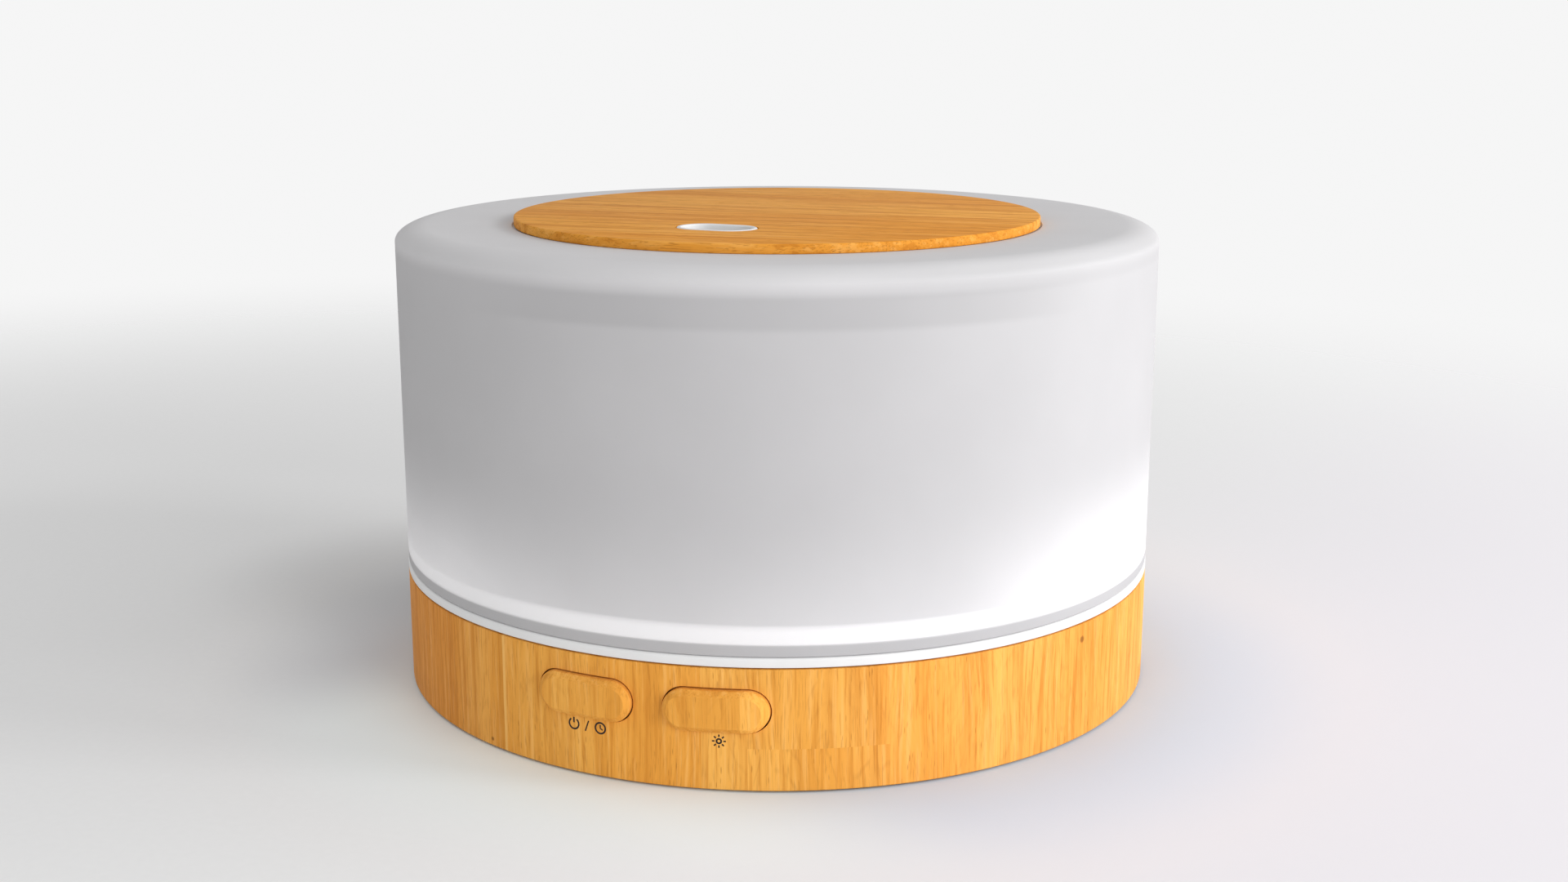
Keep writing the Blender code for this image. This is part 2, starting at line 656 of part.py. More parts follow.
def make_main_board():
    board = box("main_board", BOARD_LOW, BOARD_HIGH, "circuit_board")
    for number, (x, y) in enumerate(BOARD_SCREWS, 1):
        cut(board, disc("board_hole", 1.5, 0, 30, (x, y), steps=10))
        screw_piece(f"board_screw_{number}", (x, y, BOARD_HIGH[2] + GAP), 2.3, 1.3, 1.2, 6.4,
                    up=False)
    top = BOARD_HIGH[2] + GAP
    turned("drive_coil", [(0, 21.0), (6.0, 21.0), (6.0, 19.6), (5.2, 19.6), (5.2, 12.3),
                          (6.0, 12.3), (6.0, top), (0, top)],
           (-36.0, -10.0, 0), "copper", steps=20)
    for number, (x, y, radius, height) in enumerate(((-35.0, 10.0, 5.0, 12.0),
                                                     (-47.0, 14.0, 4.0, 11.0)), 1):
        turned(f"capacitor_{number}",
               [(0, top + height), (radius - 0.6, top + height), (radius, top + height - 0.6),
                (radius, top + 1.6), (radius - 0.4, top + 1.2), (radius, top + 0.8),
                (radius, top), (0, top)], (x, y, 0), "black_plastic", steps=16)
    sink = box("heatsink", (-63.0, -16.0, top), (-45.0, -8.0, 26.0), "aluminium")
    for fin in range(4):
        x = -60.9 + fin * 4.0
        cut(sink, box("fin_gap", (x, -20.0, 12.5), (x + 2.0, -10.4, 30.0)))
    transistor = box("drive_transistor", (-59.0, -7.7, top + 2.0), (-49.0, -3.4, 20.0),
                     "black_plastic", bevel=0.4)
    join(transistor, box("transistor_tab", (-59.0, -7.7, 18.0), (-49.0, -6.4, 25.0)))
    for leg in (-56.5, -54.0, -51.5):
        join(transistor, box("transistor_leg", (leg - 0.4, -6.0, top), (leg + 0.4, -5.4, 13.5)))
    box("control_chip", (-62.0, 6.0, top), (-54.0, 11.0, top + 1.6), "black_plastic", bevel=0.3)


def make_button_board():
    box("button_board", (-BUTTON_BOARD_X, -71.7, 9.0), (BUTTON_BOARD_X, -70.1, 24.0),
        "circuit_board")


def make_switch(name, x):
    body = box(f"{name}_switch", (x - 3.0, -75.5, BUTTON_Z - 3.0), (x + 3.0, -72.0, BUTTON_Z + 3.0),
               "black_plastic", bevel=0.3)
    cut(body, rod("plunger_hole", 2.0, (x, -80.0, BUTTON_Z), (x, -73.0, BUTTON_Z), sides=16))


def make_button(name, x):
    """A cap that fills its hole, with a flange behind the casing and a stem to its switch."""
    inner = CASING_R - CASING_WALL
    button = button_outline(0, -95, -65, x, f"{name}_button")
    CUTTERS.objects.unlink(button)
    PIECES.objects.link(button)
    give_finish(button, "wood_grain")
    shell = ring("button_shell", CASING_R + BUTTON_PROUD, inner - 1.7, 0, 40, steps=96)
    keep_inside(button, shell)
    soften(button, BUTTON_CHAMFER, 1)
    flange = button_outline(1.5, -95, -65, x, "button_flange")
    keep_inside(flange, ring("flange_shell", inner - GAP, inner - 1.5, 0, 40, steps=64))
    join(button, flange)
    join(button, rod("button_stem", 2.0, (x, -79.6, BUTTON_Z), (x, -77.0, BUTTON_Z), sides=12))
    plunger = rod(f"{name}_plunger", 1.7, (x, -76.7, BUTTON_Z), (x, -74.4, BUTTON_Z),
                  "grey_plastic", sides=16)
    button.hide_render = False
    button.display_type = "TEXTURED"
    return moving(f"{name}_travel", (x, -CASING_R, BUTTON_Z), [button, plunger])


def make_jack():
    z = JACK_Z
    jack = box("dc_jack", (-4.5, 69.0, z - 5.2), (4.5, 80.8, z + 5.2), "black_plastic", bevel=0.4)
    join(jack, rod("jack_nose", 4.0, (0, 79.0, z), (0, 83.7, z), sides=24))
    cut(jack, rod("jack_bore", 2.9, (0, 73.5, z), (0, 90.0, z), sides=20))
    cut(jack, rod("jack_pin_hole", 1.35, (0, 70.2, z), (0, 75.0, z), sides=12))
    rod("dc_jack_pin", 1.05, (0, 70.5, z), (0, 82.2, z), "brass", sides=12)


def make_wires():
    top = BOARD_HIGH[2] + GAP
    wire("atomizer_wire", [(2.0, -1.0, 30.3), (1.8, -1.1, 26.0), (-4.0, -2.8, 21.0),
                           (-14.0, -3.5, 18.6), (-24.0, -3.0, 18.0), (-29.0, -2.0, 14.6),
                           (-29.0, -2.0, top)], 1.5, "red_wire")
    wire("fan_wire", [(25.4, 12.0, 8.0), (18.0, 12.5, 6.4), (4.0, 14.0, 5.4), (-12.0, 15.0, 6.4),
                      (-19.5, 15.5, 10.0), (-24.5, 16.0, 14.0), (-28.8, 16.0, 13.8),
                      (-28.8, 16.0, top)], 1.5, "black_wire")
    wire("led_wire", [(-25.0, 2.0, 26.7), (-25.2, 2.2, 22.0), (-29.0, 3.6, 17.0),
                      (-29.0, 3.6, top)], 1.5, "red_wire")
    wire("button_wire", [(-18.0, -69.6, 14.0), (-19.0, -65.5, 13.8), (-27.0, -55.0, 11.5),
                         (-34.0, -42.0, 11.0), (-38.0, -31.0, 13.6), (-40.0, -23.5, 15.6),
                         (-40.0, -22.0, top)], 1.5, "black_wire")
    wire("power_wire", [(0, 68.5, 12.5), (-2.5, 63.5, 12.3), (-11.0, 55.0, 11.5),
                        (-23.0, 43.0, 11.2), (-33.0, 32.0, 14.0), (-39.8, 23.6, 16.0),
                        (-40.0, 22.0, top)], 1.8, "red_wire")


# ---------------------------------------------------------------- assembly

moving("cover_lift", (0, 0, COVER_BASE), make_cover_pieces())
make_water_tank()
make_air_outlet_hood()
make_atomizer()
make_lamps()
make_base_ring()
make_floor_plate()
make_feet_and_screws()
make_fan()
make_fan_rotor()
make_air_duct()
make_main_board()
make_button_board()
for button_name, button_x in (("power", -BUTTON_X), ("light", BUTTON_X)):
    make_switch(button_name, button_x)
    make_button(button_name, button_x)
make_jack()
make_wires()
for piece in PIECES.objects:
    if piece.type == "MESH":
        piece.data.shade_smooth()
        piece.data.set_sharp_from_angle(angle=math.radians(35))
bpy.context.view_layer.update()
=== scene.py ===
"""The looks of the essential oil diffuser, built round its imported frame.

Shapes are worked out in millimetres and placed in metres, in the frame's own axes:
+Z is up, the buttons face -Y, and the origin is the centre of the footprint.
"""

import json
import math

import bmesh
import bpy
from mathutils import Matrix, Vector


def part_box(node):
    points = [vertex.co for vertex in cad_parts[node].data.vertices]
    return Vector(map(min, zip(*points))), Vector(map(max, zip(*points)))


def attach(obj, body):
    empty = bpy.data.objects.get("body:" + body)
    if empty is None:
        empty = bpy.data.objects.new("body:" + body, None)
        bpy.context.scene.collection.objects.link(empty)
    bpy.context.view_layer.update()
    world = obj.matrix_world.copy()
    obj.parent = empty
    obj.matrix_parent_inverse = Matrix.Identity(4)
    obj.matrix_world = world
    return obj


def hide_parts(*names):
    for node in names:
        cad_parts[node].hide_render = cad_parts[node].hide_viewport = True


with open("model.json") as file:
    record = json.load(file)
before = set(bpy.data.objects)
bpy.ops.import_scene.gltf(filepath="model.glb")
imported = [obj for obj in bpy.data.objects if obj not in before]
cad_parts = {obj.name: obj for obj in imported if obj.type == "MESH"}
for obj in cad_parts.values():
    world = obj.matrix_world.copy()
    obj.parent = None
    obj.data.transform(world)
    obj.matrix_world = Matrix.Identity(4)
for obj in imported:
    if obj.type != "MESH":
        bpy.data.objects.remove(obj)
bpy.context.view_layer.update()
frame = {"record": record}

MM = 0.001
BODY_OF = {node: body for body, nodes in frame["record"]["behaviour"]["bodies"].items()
           for node in nodes}
WHITE = (1.0, 1.0, 1.0)
FINE = 256  # steps round the large turned pieces
WELD = 5e-7  # metres within which a mesh's points become one
FRONT = 17.25  # azimuth of the camera in degrees, from the buttons' side towards +X


def box_mm(node):
    """The lowest and highest corners of a CAD node in millimetres."""
    low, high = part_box(node)
    return low / MM, high / MM


def polar(radius, azimuth):
    """Where a point stands at an azimuth from the front, positive towards +X."""
    angle = math.radians(azimuth)
    return Vector((radius * math.sin(angle), -radius * math.cos(angle)))


# Sizes read from the frame
COVER_LOW, COVER_HIGH = box_mm("frosted_cover")
PLATE_LOW, PLATE_HIGH = box_mm("top_plate")
NOZZLE_LOW, NOZZLE_HIGH = box_mm("mist_nozzle")
CHIMNEY_LOW, CHIMNEY_HIGH = box_mm("mist_chimney")
RING_LOW, RING_HIGH = box_mm("base_ring")
HOOD_LOW, HOOD_HIGH = box_mm("air_outlet_hood")
BOARD_LOW, BOARD_HIGH = box_mm("main_board")
COVER_R = COVER_HIGH.x
PLATE_R = PLATE_HIGH.x
CASING_R = RING_HIGH.x
TANK_RIM = box_mm("water_tank")[1].z

# Sizes that the boxes don't give, as the frame has them
GAP = 0.3
COVER_WALL = 2.0
CASING_WALL = 2.4
SLOT_AZIMUTH = -5.25
SLOT_AT = polar(32.6, SLOT_AZIMUTH)
SLOT_HALF = (8.7, 5.6)
NOZZLE_WALL = 1.0
LIP_BASE, LIP_TOP, LEDGE_TOP = 25.3, 27.3, 29.9
BOWL_R = 72.2
BUTTON_X, BUTTON_Z = 13.45, 16.6
BUTTON_HALF = (10.25, 4.2)
BUTTON_FACE_R = 85.9
BUTTON_CHAMFER = 1.1
TOWER_AT = Vector((52.0, 0.0))
TOWER_HALF = (7.0, 15.0)
TOWER_TOP = 68.0
SCREW_CORNER = 49.5
CASE_SCREWS = [(x, y) for x in (-SCREW_CORNER, SCREW_CORNER) for y in (-SCREW_CORNER, SCREW_CORNER)]
FLOOR_TOP = 3.4
RETAINER_SCREW_R = 16.2
RETAINER_AZIMUTHS = (0, 120, 240)
LAMP_CIRCLE = 25.0
LAMP_AZIMUTHS = (0, 90, 180, 270)
LAMP_POST_AZIMUTHS = (45, 165, 285)
FOOT_REACH = 71.0
FOOT_AZIMUTHS = (0, 90, 180, 270)
JACK_Z = 12.5
FAN_AT = Vector((46.0, 0.0))
FAN_CENTRE = (*FAN_AT, 0)
FAN_HOLE = 16.0
FAN_BASE, FAN_TOP = 5.7, 15.7
FAN_BORE = 18.6
FAN_SCREWS = ((30.0, -16.0), (62.0, 16.0))
BOARD_POSTS = ((-62.0, -22.0), (-62.0, 22.0), (-28.0, -22.0), (-28.0, 22.0))
BOARD_SCREWS = ((-62.0, 22.0), (-28.0, -22.0))
PARTS_Z = BOARD_HIGH.z + GAP


# ---------------------------------------------------------------- materials


class Value:
    """A number that varies over a surface. Arithmetic on it adds nodes to its material."""

    def __init__(self, look, socket):
        self.look = look
        self.socket = socket

    def __add__(self, other):
        return self.look.math("ADD", self, other)

    def __sub__(self, other):
        return self.look.math("SUBTRACT", self, other)

    def __rsub__(self, other):
        return self.look.math("SUBTRACT", other, self)

    def __mul__(self, other):
        return self.look.math("MULTIPLY", self, other)

    def __truediv__(self, other):
        return self.look.math("DIVIDE", self, other)


class Look:
    """One material, and short calls for building its nodes."""

    def __init__(self, name):
        self.material = bpy.data.materials.new(name)
        self.material.use_nodes = True
        self.nodes = self.material.node_tree.nodes
        self.links = self.material.node_tree.links
        self.shader = self.nodes["Principled BSDF"]
        place = self.add("TexCoord").outputs["Object"]
        self.place = self.scaled(place, (1 / MM, 1 / MM, 1 / MM))

    def put(self, socket, value):
        if isinstance(value, Value):
            value = value.socket
        if isinstance(value, bpy.types.NodeSocket):
            self.links.new(value, socket)
        else:
            socket.default_value = value

    def add(self, kind, inputs=None, **settings):
        node = self.nodes.new("ShaderNode" + kind)
        for key, value in settings.items():
            setattr(node, key, value)
        for key, value in (inputs or {}).items():
            self.put(node.inputs[key], value)
        return node

    def set(self, **values):
        """Set the shader's own sockets, named with _ for a space."""
        for key, value in values.items():
            self.put(self.shader.inputs[key.replace("_", " ")], value)

    def math(self, operation, *values):
        return Value(self, self.add("Math", dict(enumerate(values)),
                                    operation=operation).outputs[0])

    def scaled(self, place, scale):
        return self.add("Mapping", {"Vector": place, "Scale": scale}).outputs[0]

    def axes(self):
        """The place's X, Y and Z in millimetres."""
        parts = self.add("SeparateXYZ", {"Vector": self.place}).outputs
        return [Value(self, part) for part in parts]

    def vector(self, x, y, z):
        return self.add("CombineXYZ", {"X": x, "Y": y, "Z": z}).outputs[0]

    def distance(self, point):
        """How far the place is from a point in millimetres."""
        return Value(self, self.add("VectorMath", {0: self.place, 1: point},
                                    operation="DISTANCE").outputs["Value"])

    def towards(self, azimuth, radius):
        """How far the place lies towards an azimuth: 1 at the radius, -1 across from it."""
        x, y = self.axes()[:2]
        way = polar(1.0 / radius, azimuth)
        return x * way.x + y * way.y

    def noise(self, place, scale, detail=2.0, roughness=0.5):
        """Noise from 0 to 1; scale is features per millimetre."""
        return Value(self, self.add("TexNoise", {
            "Vector": place, "Scale": scale, "Detail": detail,
            "Roughness": roughness}).outputs["Fac"])

    def cells(self, place, scale, feature="F1"):
        return Value(self, self.add("TexVoronoi", {"Vector": place, "Scale": scale},
                                    feature=feature).outputs["Distance"])

    def random(self, value):
        return Value(self, self.add("TexWhiteNoise", {"W": value},
                                    noise_dimensions="1D").outputs["Value"])

    def ease(self, value, start, end, low=0.0, high=1.0):
        """Smooth step from low to high as the value goes from start to end."""
        return Value(self, self.add("MapRange", {
            "Value": value, "From Min": start, "From Max": end, "To Min": low,
            "To Max": high}, interpolation_type="SMOOTHSTEP").outputs["Result"])

    def mix(self, share, first, second, blend="MIX"):
        node = self.add("Mix", data_type="RGBA", blend_type=blend)
        for index, value in ((0, share), (6, first), (7, second)):
            if isinstance(value, tuple):
                value = (*value, 1.0)
            self.put(node.inputs[index], value)
        return node.outputs[2]

    def bump(self, height, distance):
        """Raise the surface by a height from 0 to 1 times a distance in millimetres."""
        node = self.add("Bump", {"Height": height, "Distance": distance * MM, "Strength": 1.0})
        self.put(self.shader.inputs["Normal"], node.outputs[0])


def wood(name, grain_along, seed, strip=0.0, contrast=1.0, tint=WHITE, fine=1.0):
    """Honey oak film: planks a strip wide, streaks, growth lines, fibres and pores."""
    look = Look(name)
    x, y, z = look.axes()
    on_casing = grain_along == "z" and strip > BUTTON_X
    if grain_along == "z":
        across = look.math("ARCTAN2", x, y * -1.0) * CASING_R
        along, first, second = z, x, y
    else:
        across, along, first, second = y, x, y, z

    shift, figured = seed, 0.25
    if strip:
        # The planks differ in width, start off the front, and are cut at any height.
        bend, start, cut_low, cut_reach = 0.22 * strip, 0.44 * strip, -22.0, 74.0
        warped = look.math("SINE", across * (2.2 / strip)) * bend + across
        column = look.math("FLOOR", (warped + start) / strip)
        cut_at = look.random(column + 0.37) * cut_reach + cut_low
        block = look.math("GREATER_THAN", along, cut_at) * 0.5 + column
        if on_casing:
            # One short block under the second button holds the strongest figure.
            top, left, right = 9.0, math.radians(13.4), math.radians(32.3)
            inset = look.math("LESS_THAN", z, top)
            inset *= look.math("GREATER_THAN", across, CASING_R * left)
            inset *= look.math("LESS_THAN", across, CASING_R * right)
            block = inset * 7.3 + block
            figured = inset * 0.22 + 0.25
        tone = look.random(block)
        shift = tone * 57.0 + seed

    # A slow sideways drift keeps the streaks from being ruled lines.
    slow = look.vector(first, second, along * 0.35)
    drift = look.noise(slow, 0.075, 1.0) * 3.0 + shift
    a, b = first + drift, second + drift

    def grain(stretch, scale, detail=2.0, roughness=0.5):
        return look.noise(look.vector(a, b, along * stretch), scale, detail, roughness)

    broad = grain(0.12, 0.055, 1.0)
    streak = grain(0.035, 0.42 * fine, 3.0, 0.62)
    thread = grain(0.030, 1.25 * fine, 2.0, 0.6)
    fibre = grain(0.045, 3.4, 2.0, 0.6)

    # Growth lines: contours of a slow wave across the grain that climbs along it,
    # so that they run straight on its flanks and arch where it turns.
    wave = look.math("COSINE", across / 4.6 + shift * 0.7) * 2.6
    rings = wave + along * 0.15 + grain(0.18, 0.16) * 1.8
    line = look.ease(look.math("PINGPONG", rings, 0.5), 0.16, 0.0)
    line *= look.ease(grain(0.12, 0.4), 0.42, 0.60)
    dash = look.ease(look.cells(look.vector(a, b, along * 0.13), 1.5), 0.20, 0.08)
    dash *= look.ease(grain(0.08, 0.22), 0.46, 0.60)

    light, deep, pore = (0.890, 0.450, 0.096), (0.800, 0.360, 0.062), (0.300, 0.105, 0.018)
    dark, pale, brown = (0.620, 0.240, 0.034), (0.960, 0.545, 0.175), (0.400, 0.150, 0.026)
    colour = look.mix(look.ease(broad, 0.36, 0.64), light, deep)
    for share, other in ((look.ease(streak, 0.42, 0.74) * 0.62, dark),
                         (look.ease(streak, 0.42, 0.24) * 0.34, pale),
                         (look.ease(thread, 0.55, 0.66) * 0.56, dark),
                         (look.ease(thread, 0.46, 0.34) * 0.32, pale),
                         (line * figured * 0.42, brown),
                         (look.ease(fibre, 0.53, 0.66) * 0.36, brown),
                         (dash * 0.50, pore)):
        colour = look.mix(share * contrast, colour, other)
    if strip:
        shade = tone * 0.12 + 0.99
        colour = look.mix(1.0, colour, look.vector(shade, shade, shade), "MULTIPLY")
    if on_casing:
        colour = casing_marks(look, colour, across)
    colour = look.mix(1.0, colour, tint, "MULTIPLY")
    look.set(Base_Color=colour, IOR=1.45, Specular_IOR_Level=0.02)
    look.set(Roughness=look.ease(fibre + dash, 0.2, 1.4, 0.42, 0.60))
    look.bump(1.0 - look.math("MAXIMUM", dash, fibre * 0.35), 0.03)
    return look.material


def casing_marks(look, colour, across):
    """Tints on the casing by direction, its knots, and its joint left of the first button."""
    # Tinted ruddier and darker to the left of the buttons and a little warmer to their right; the
    # tints fade out towards the back.
    ruddy = look.mix(look.ease(across, -22.0, -62.0), WHITE, (0.92, 0.83, 0.93))
    ruddy = look.mix(look.ease(across, 25.0, 60.0), ruddy, (1.0, 0.92, 0.95))
    ruddy = look.mix(look.ease(look.math("ABSOLUTE", across), 130.0, 230.0), ruddy, WHITE)
    colour = look.mix(1.0, colour, ruddy, "MULTIPLY")
    for azimuth, height, radius in ((64.9, 21.7, 1.0), (-26.3, 1.9, 0.6)):
        gap = look.distance((*polar(CASING_R, azimuth), height))
        colour = look.mix(look.ease(gap, radius, 0.35 * radius, 0.0, 0.75), colour,
                          (0.200, 0.075, 0.020))
    joint = across - CASING_R * math.radians(-23.6)
    dark_side = look.ease(joint, -2.4, -0.5) * look.ease(joint, 0.1, -0.1)
    pale_side = look.ease(joint, -0.1, 0.1) * look.ease(joint, 1.0, 0.4)
    colour = look.mix(dark_side * 0.45, colour, (0.560, 0.215, 0.032))
    return look.mix(pale_side * 0.55, colour, (0.960, 0.590, 0.200))


def frosted():
    """Satin translucent shell. Its tone carries painted light and shade for what stands behind
    the wall: painted shade at the spigot at the foot, a painted highlight for the lit ledge, a
    painted glow above it, painted shade over the thick rim under the top edge, and a brightened
    top. It is placed by height, and by direction on the object from the front it is seen from."""
    look = Look("frosted_plastic")
    z = look.axes()[2]
    facing = look.towards(FRONT, COVER_R)
    facing *= facing

    wall, ledge_highlight_gain, foot_shade_gain = 0.66, 1.85, 0.90
    glow_end, glow_full = 62.0, 24.0
    # Painted glow: the wall is brightened above the ledge, reaching higher towards the sides seen
    # from the front.
    reach = look.ease(facing, 0.92, 0.30, 0.16, 0.52)
    glow = reach * look.math("POWER", look.ease(z, glow_end, glow_full), 1.25) * 1.45 + 1.0
    # Painted highlight: a bright band where the lit ledge stands behind the wall.
    ledge = look.ease(z, LEDGE_TOP - 0.4, LEDGE_TOP + 0.3)
    ledge *= look.ease(z, LEDGE_TOP + 4.6, LEDGE_TOP + 2.4)
    glow = look.math("MAXIMUM", glow, ledge * (ledge_highlight_gain - 1.0) + 1.0)
    # Painted shade: the foot below the ledge is darkened.
    above_foot = look.ease(z, LEDGE_TOP - 0.5, LEDGE_TOP + 0.1)
    factor = glow * above_foot + (1.0 - above_foot) * foot_shade_gain
    # Painted shade: a darker band over the thick rim, strongest towards the front.
    rim_low, rim_high = 88.9, 96.7
    rim = look.ease(z, rim_low, rim_low + 1.7) * look.ease(z, rim_high, rim_high - 1.5)
    factor *= 1.0 - rim * look.ease(facing, 0.45, 0.85) * 0.10
    # Painted light: the top and its round edge are brightened.
    factor *= look.ease(z, rim_high - 1.5, rim_high + 1.8, 1.0, 1.21)
    # Painted shade: the round edge is darkened on the side that the key light stands on, so that it
    # takes less of the light there.
    edge = look.ease(z, 94.5, 97.5) * look.ease(z, 100.6, 99.0)
    edge *= look.ease(look.towards(FRONT + 48, COVER_R), 0.72, 0.97)
    factor *= 1.0 - edge * 0.14
    factor *= look.ease(look.noise(look.place, 0.05), 0.2, 0.8, 0.985, 1.015)
    whole = factor * wall
    value = look.math("MINIMUM", whole, 0.95)
    tint = look.vector(value, value * 0.990, value * 1.004)
    # Painted glow: what a surface can't reflect is emitted, as light coming through from the lit
    # ledge.
    painted_glow_excess = (whole - value) * 0.5
    look.set(Emission_Color=look.vector(painted_glow_excess, painted_glow_excess, painted_glow_excess), Emission_Strength=1.0)

    grain = look.noise(look.place, 3.2, 3.0, 0.6)
    look.set(Base_Color=tint, IOR=1.49, Specular_IOR_Level=0.15)
    look.set(Roughness=look.ease(grain, 0.3, 0.7, 0.50, 0.62))
    look.bump(grain, 0.006)
    through = look.add("BsdfTranslucent", {"Color": tint})
    blend = look.add("MixShader", {0: 0.22, 1: look.shader.outputs[0], 2: through.outputs[0]})
    look.put(look.nodes["Material Output"].inputs["Surface"], blend.outputs[0])
    return look.material


def moulded(name, colour, roughness, grain=1.6, relief=0.01, mottle=0.05, metallic=0.0,
            stretch=(1, 1, 1), specular=0.5, wear=0.12):
    """A plain moulded or turned finish: grain, uneven gloss, and paler worn edges."""
    look = Look(name)
    place = look.scaled(look.place, stretch)
    fine = look.noise(place, grain, 3.0, 0.6)
    cloud = look.noise(place, 0.09, 3.0, 0.6)
    darker = tuple(channel * (1 - 2 * mottle) for channel in colour)
    paler = tuple(min(channel + wear * (1 - channel), 1.0) for channel in colour)
    tone = look.mix(look.ease(cloud, 0.35, 0.65), colour, darker)
    tone = look.mix(look.ease(fine, 0.3, 0.7, 0.0, mottle * 3), tone, darker)
    edge = look.add("NewGeometry").outputs["Pointiness"]
    tone = look.mix(look.ease(edge, 0.53, 0.60), tone, paler)
    look.set(Base_Color=tone, Metallic=metallic, Specular_IOR_Level=specular)
    look.set(Roughness=look.ease(fine + cloud, 0.7, 1.3, roughness * 0.85,
                                 min(roughness * 1.15, 1.0)))
    look.bump(fine, relief)
    return look.material


def windings():
    """Enamelled copper wire wound round Z: one ridge a turn."""
    look = Look("copper")
    turn = look.math("PINGPONG", look.axes()[2] / 0.35, 0.5)
    shade = look.mix(look.ease(turn, 0.05, 0.4), (0.25, 0.08, 0.03), (0.78, 0.34, 0.16))
    look.set(Base_Color=shade, Metallic=0.85)
    look.set(Roughness=look.ease(look.noise(look.place, 0.8), 0.3, 0.7, 0.25, 0.42))
    look.bump(turn, 0.15)
    return look.material


def circuit():
    """Green solder mask over copper tracks, with tinned pads."""
    look = Look("circuit_board")
    track = look.ease(look.cells(look.place, 0.22, "DISTANCE_TO_EDGE"), 0.11, 0.05)
    weave = look.noise(look.place, 2.0)
    pad = look.ease(look.cells(look.place, 0.38), 0.20, 0.17)
    mask = look.mix(look.ease(weave, 0.35, 0.65), (0.012, 0.150, 0.055), (0.016, 0.185, 0.070))
    mask = look.mix(track, mask, (0.035, 0.270, 0.100))
    mask = look.mix(pad, mask, (0.62, 0.62, 0.60))
    look.set(Base_Color=mask, Metallic=pad * 0.8)
    look.set(Roughness=look.ease(weave, 0.3, 0.7, 0.30, 0.42))
    look.bump(look.math("MAXIMUM", track, pad), 0.04)
    return look.material


def foam_rubber():
    """Black open-celled foam."""
    look = Look("foam")
    cell = look.cells(look.place, 1.4)
    look.set(Base_Color=look.mix(look.ease(cell, 0.1, 0.5), (0.015, 0.015, 0.015),
                                 (0.085, 0.085, 0.085)))
    look.set(Roughness=look.ease(cell, 0.1, 0.6, 0.85, 1.0))
    look.bump(cell, 0.2)
    return look.material


FINISHES = {
    "wood_ring": wood("wood_ring", "z", 3.1, 27.0),
    "wood_button": wood("wood_button", "z", 41.7, 11.0, 0.8),
    "wood_plate": wood("wood_plate", "x", 12.4, contrast=1.3, tint=(0.99, 0.915, 0.74), fine=0.45),
    "frosted_plastic": frosted(),
    "white_plastic": moulded("white_plastic", (0.80, 0.80, 0.80), 0.36, 2.2, 0.006, 0.015),
    "grey_plastic": moulded("grey_plastic", (0.52, 0.52, 0.51), 0.48, 2.0, 0.012, 0.03),
    "black_plastic": moulded("black_plastic", (0.022, 0.022, 0.023), 0.42, 2.0, 0.02, 0.10),
    "rubber": moulded("rubber", (0.035, 0.035, 0.036), 0.82, 3.0, 0.04, 0.12, specular=0.3),
    "silicone": moulded("silicone", (0.70, 0.70, 0.67), 0.55, 1.5, 0.01, 0.03),
    "foam": foam_rubber(),
    "steel": moulded("steel", (0.60, 0.60, 0.61), 0.28, 1.2, 0.01, 0.06, 1.0),
    "brass": moulded("brass", (0.78, 0.57, 0.25), 0.28, 1.0, 0.008, 0.05, 1.0),
    "aluminium": moulded("aluminium", (0.68, 0.69, 0.70), 0.36, 1.6, 0.02, 0.04, 1.0,
                         stretch=(1, 1, 0.05)),
    "copper": windings(),
    "circuit_board": circuit(),
    "lamp": moulded("lamp", (0.92, 0.90, 0.80), 0.22, 0.9, 0.004, 0.03),
    "red_wire": moulded("red_wire", (0.48, 0.022, 0.018), 0.42, 1.4, 0.01, 0.06),
    "black_wire": moulded("black_wire", (0.022, 0.022, 0.022), 0.42, 1.4, 0.01, 0.08),
    "ink": moulded("ink", (0.014, 0.006, 0.003), 0.75, 5.0, 0.004, 0.05, wear=0.0),
}


# ---------------------------------------------------------------- shape helpers


def arc(centre, radii, first, last, steps):
    """Points of an elliptical arc, in degrees."""
    points = []
    for step in range(steps + 1):
        angle = math.radians(first + (last - first) * step / steps)
        points.append((centre[0] + radii[0] * math.cos(angle),
                       centre[1] + radii[1] * math.sin(angle)))
    return points


def rounded(points, steps=4):
    """A path or outline whose corners given as (x, y, radius) become arcs."""
    path = []
    for index, point in enumerate(points):
        here = Vector(point[:2])
        if len(point) == 2:
            path.append(tuple(here))
            continue
        radius = point[2]
        back = (Vector(points[index - 1][:2]) - here).normalized()
        ahead = (Vector(points[(index + 1) % len(points)][:2]) - here).normalized()
        half = back.angle(ahead) / 2
        reach = radius / math.tan(half)
        centre = here + (back + ahead).normalized() * (radius / math.sin(half))
        start, end = here + back * reach - centre, here + ahead * reach - centre
        first = math.atan2(start.y, start.x)
        sweep = math.remainder(math.atan2(end.y, end.x) - first, math.tau)
        for step in range(steps + 1):
            angle = first + sweep * step / steps
            path.append((centre.x + radius * math.cos(angle), centre.y + radius * math.sin(angle)))
    return path


def stadium(half_length, half_width, steps=24):
    """The outline of a slot with round ends, along X."""
    straight = half_length - half_width
    outline = []
    for side, first in ((1, -90), (-1, 90)):
        outline += arc((side * straight, 0), (half_width, half_width), first, first + 180, steps)
    return outline


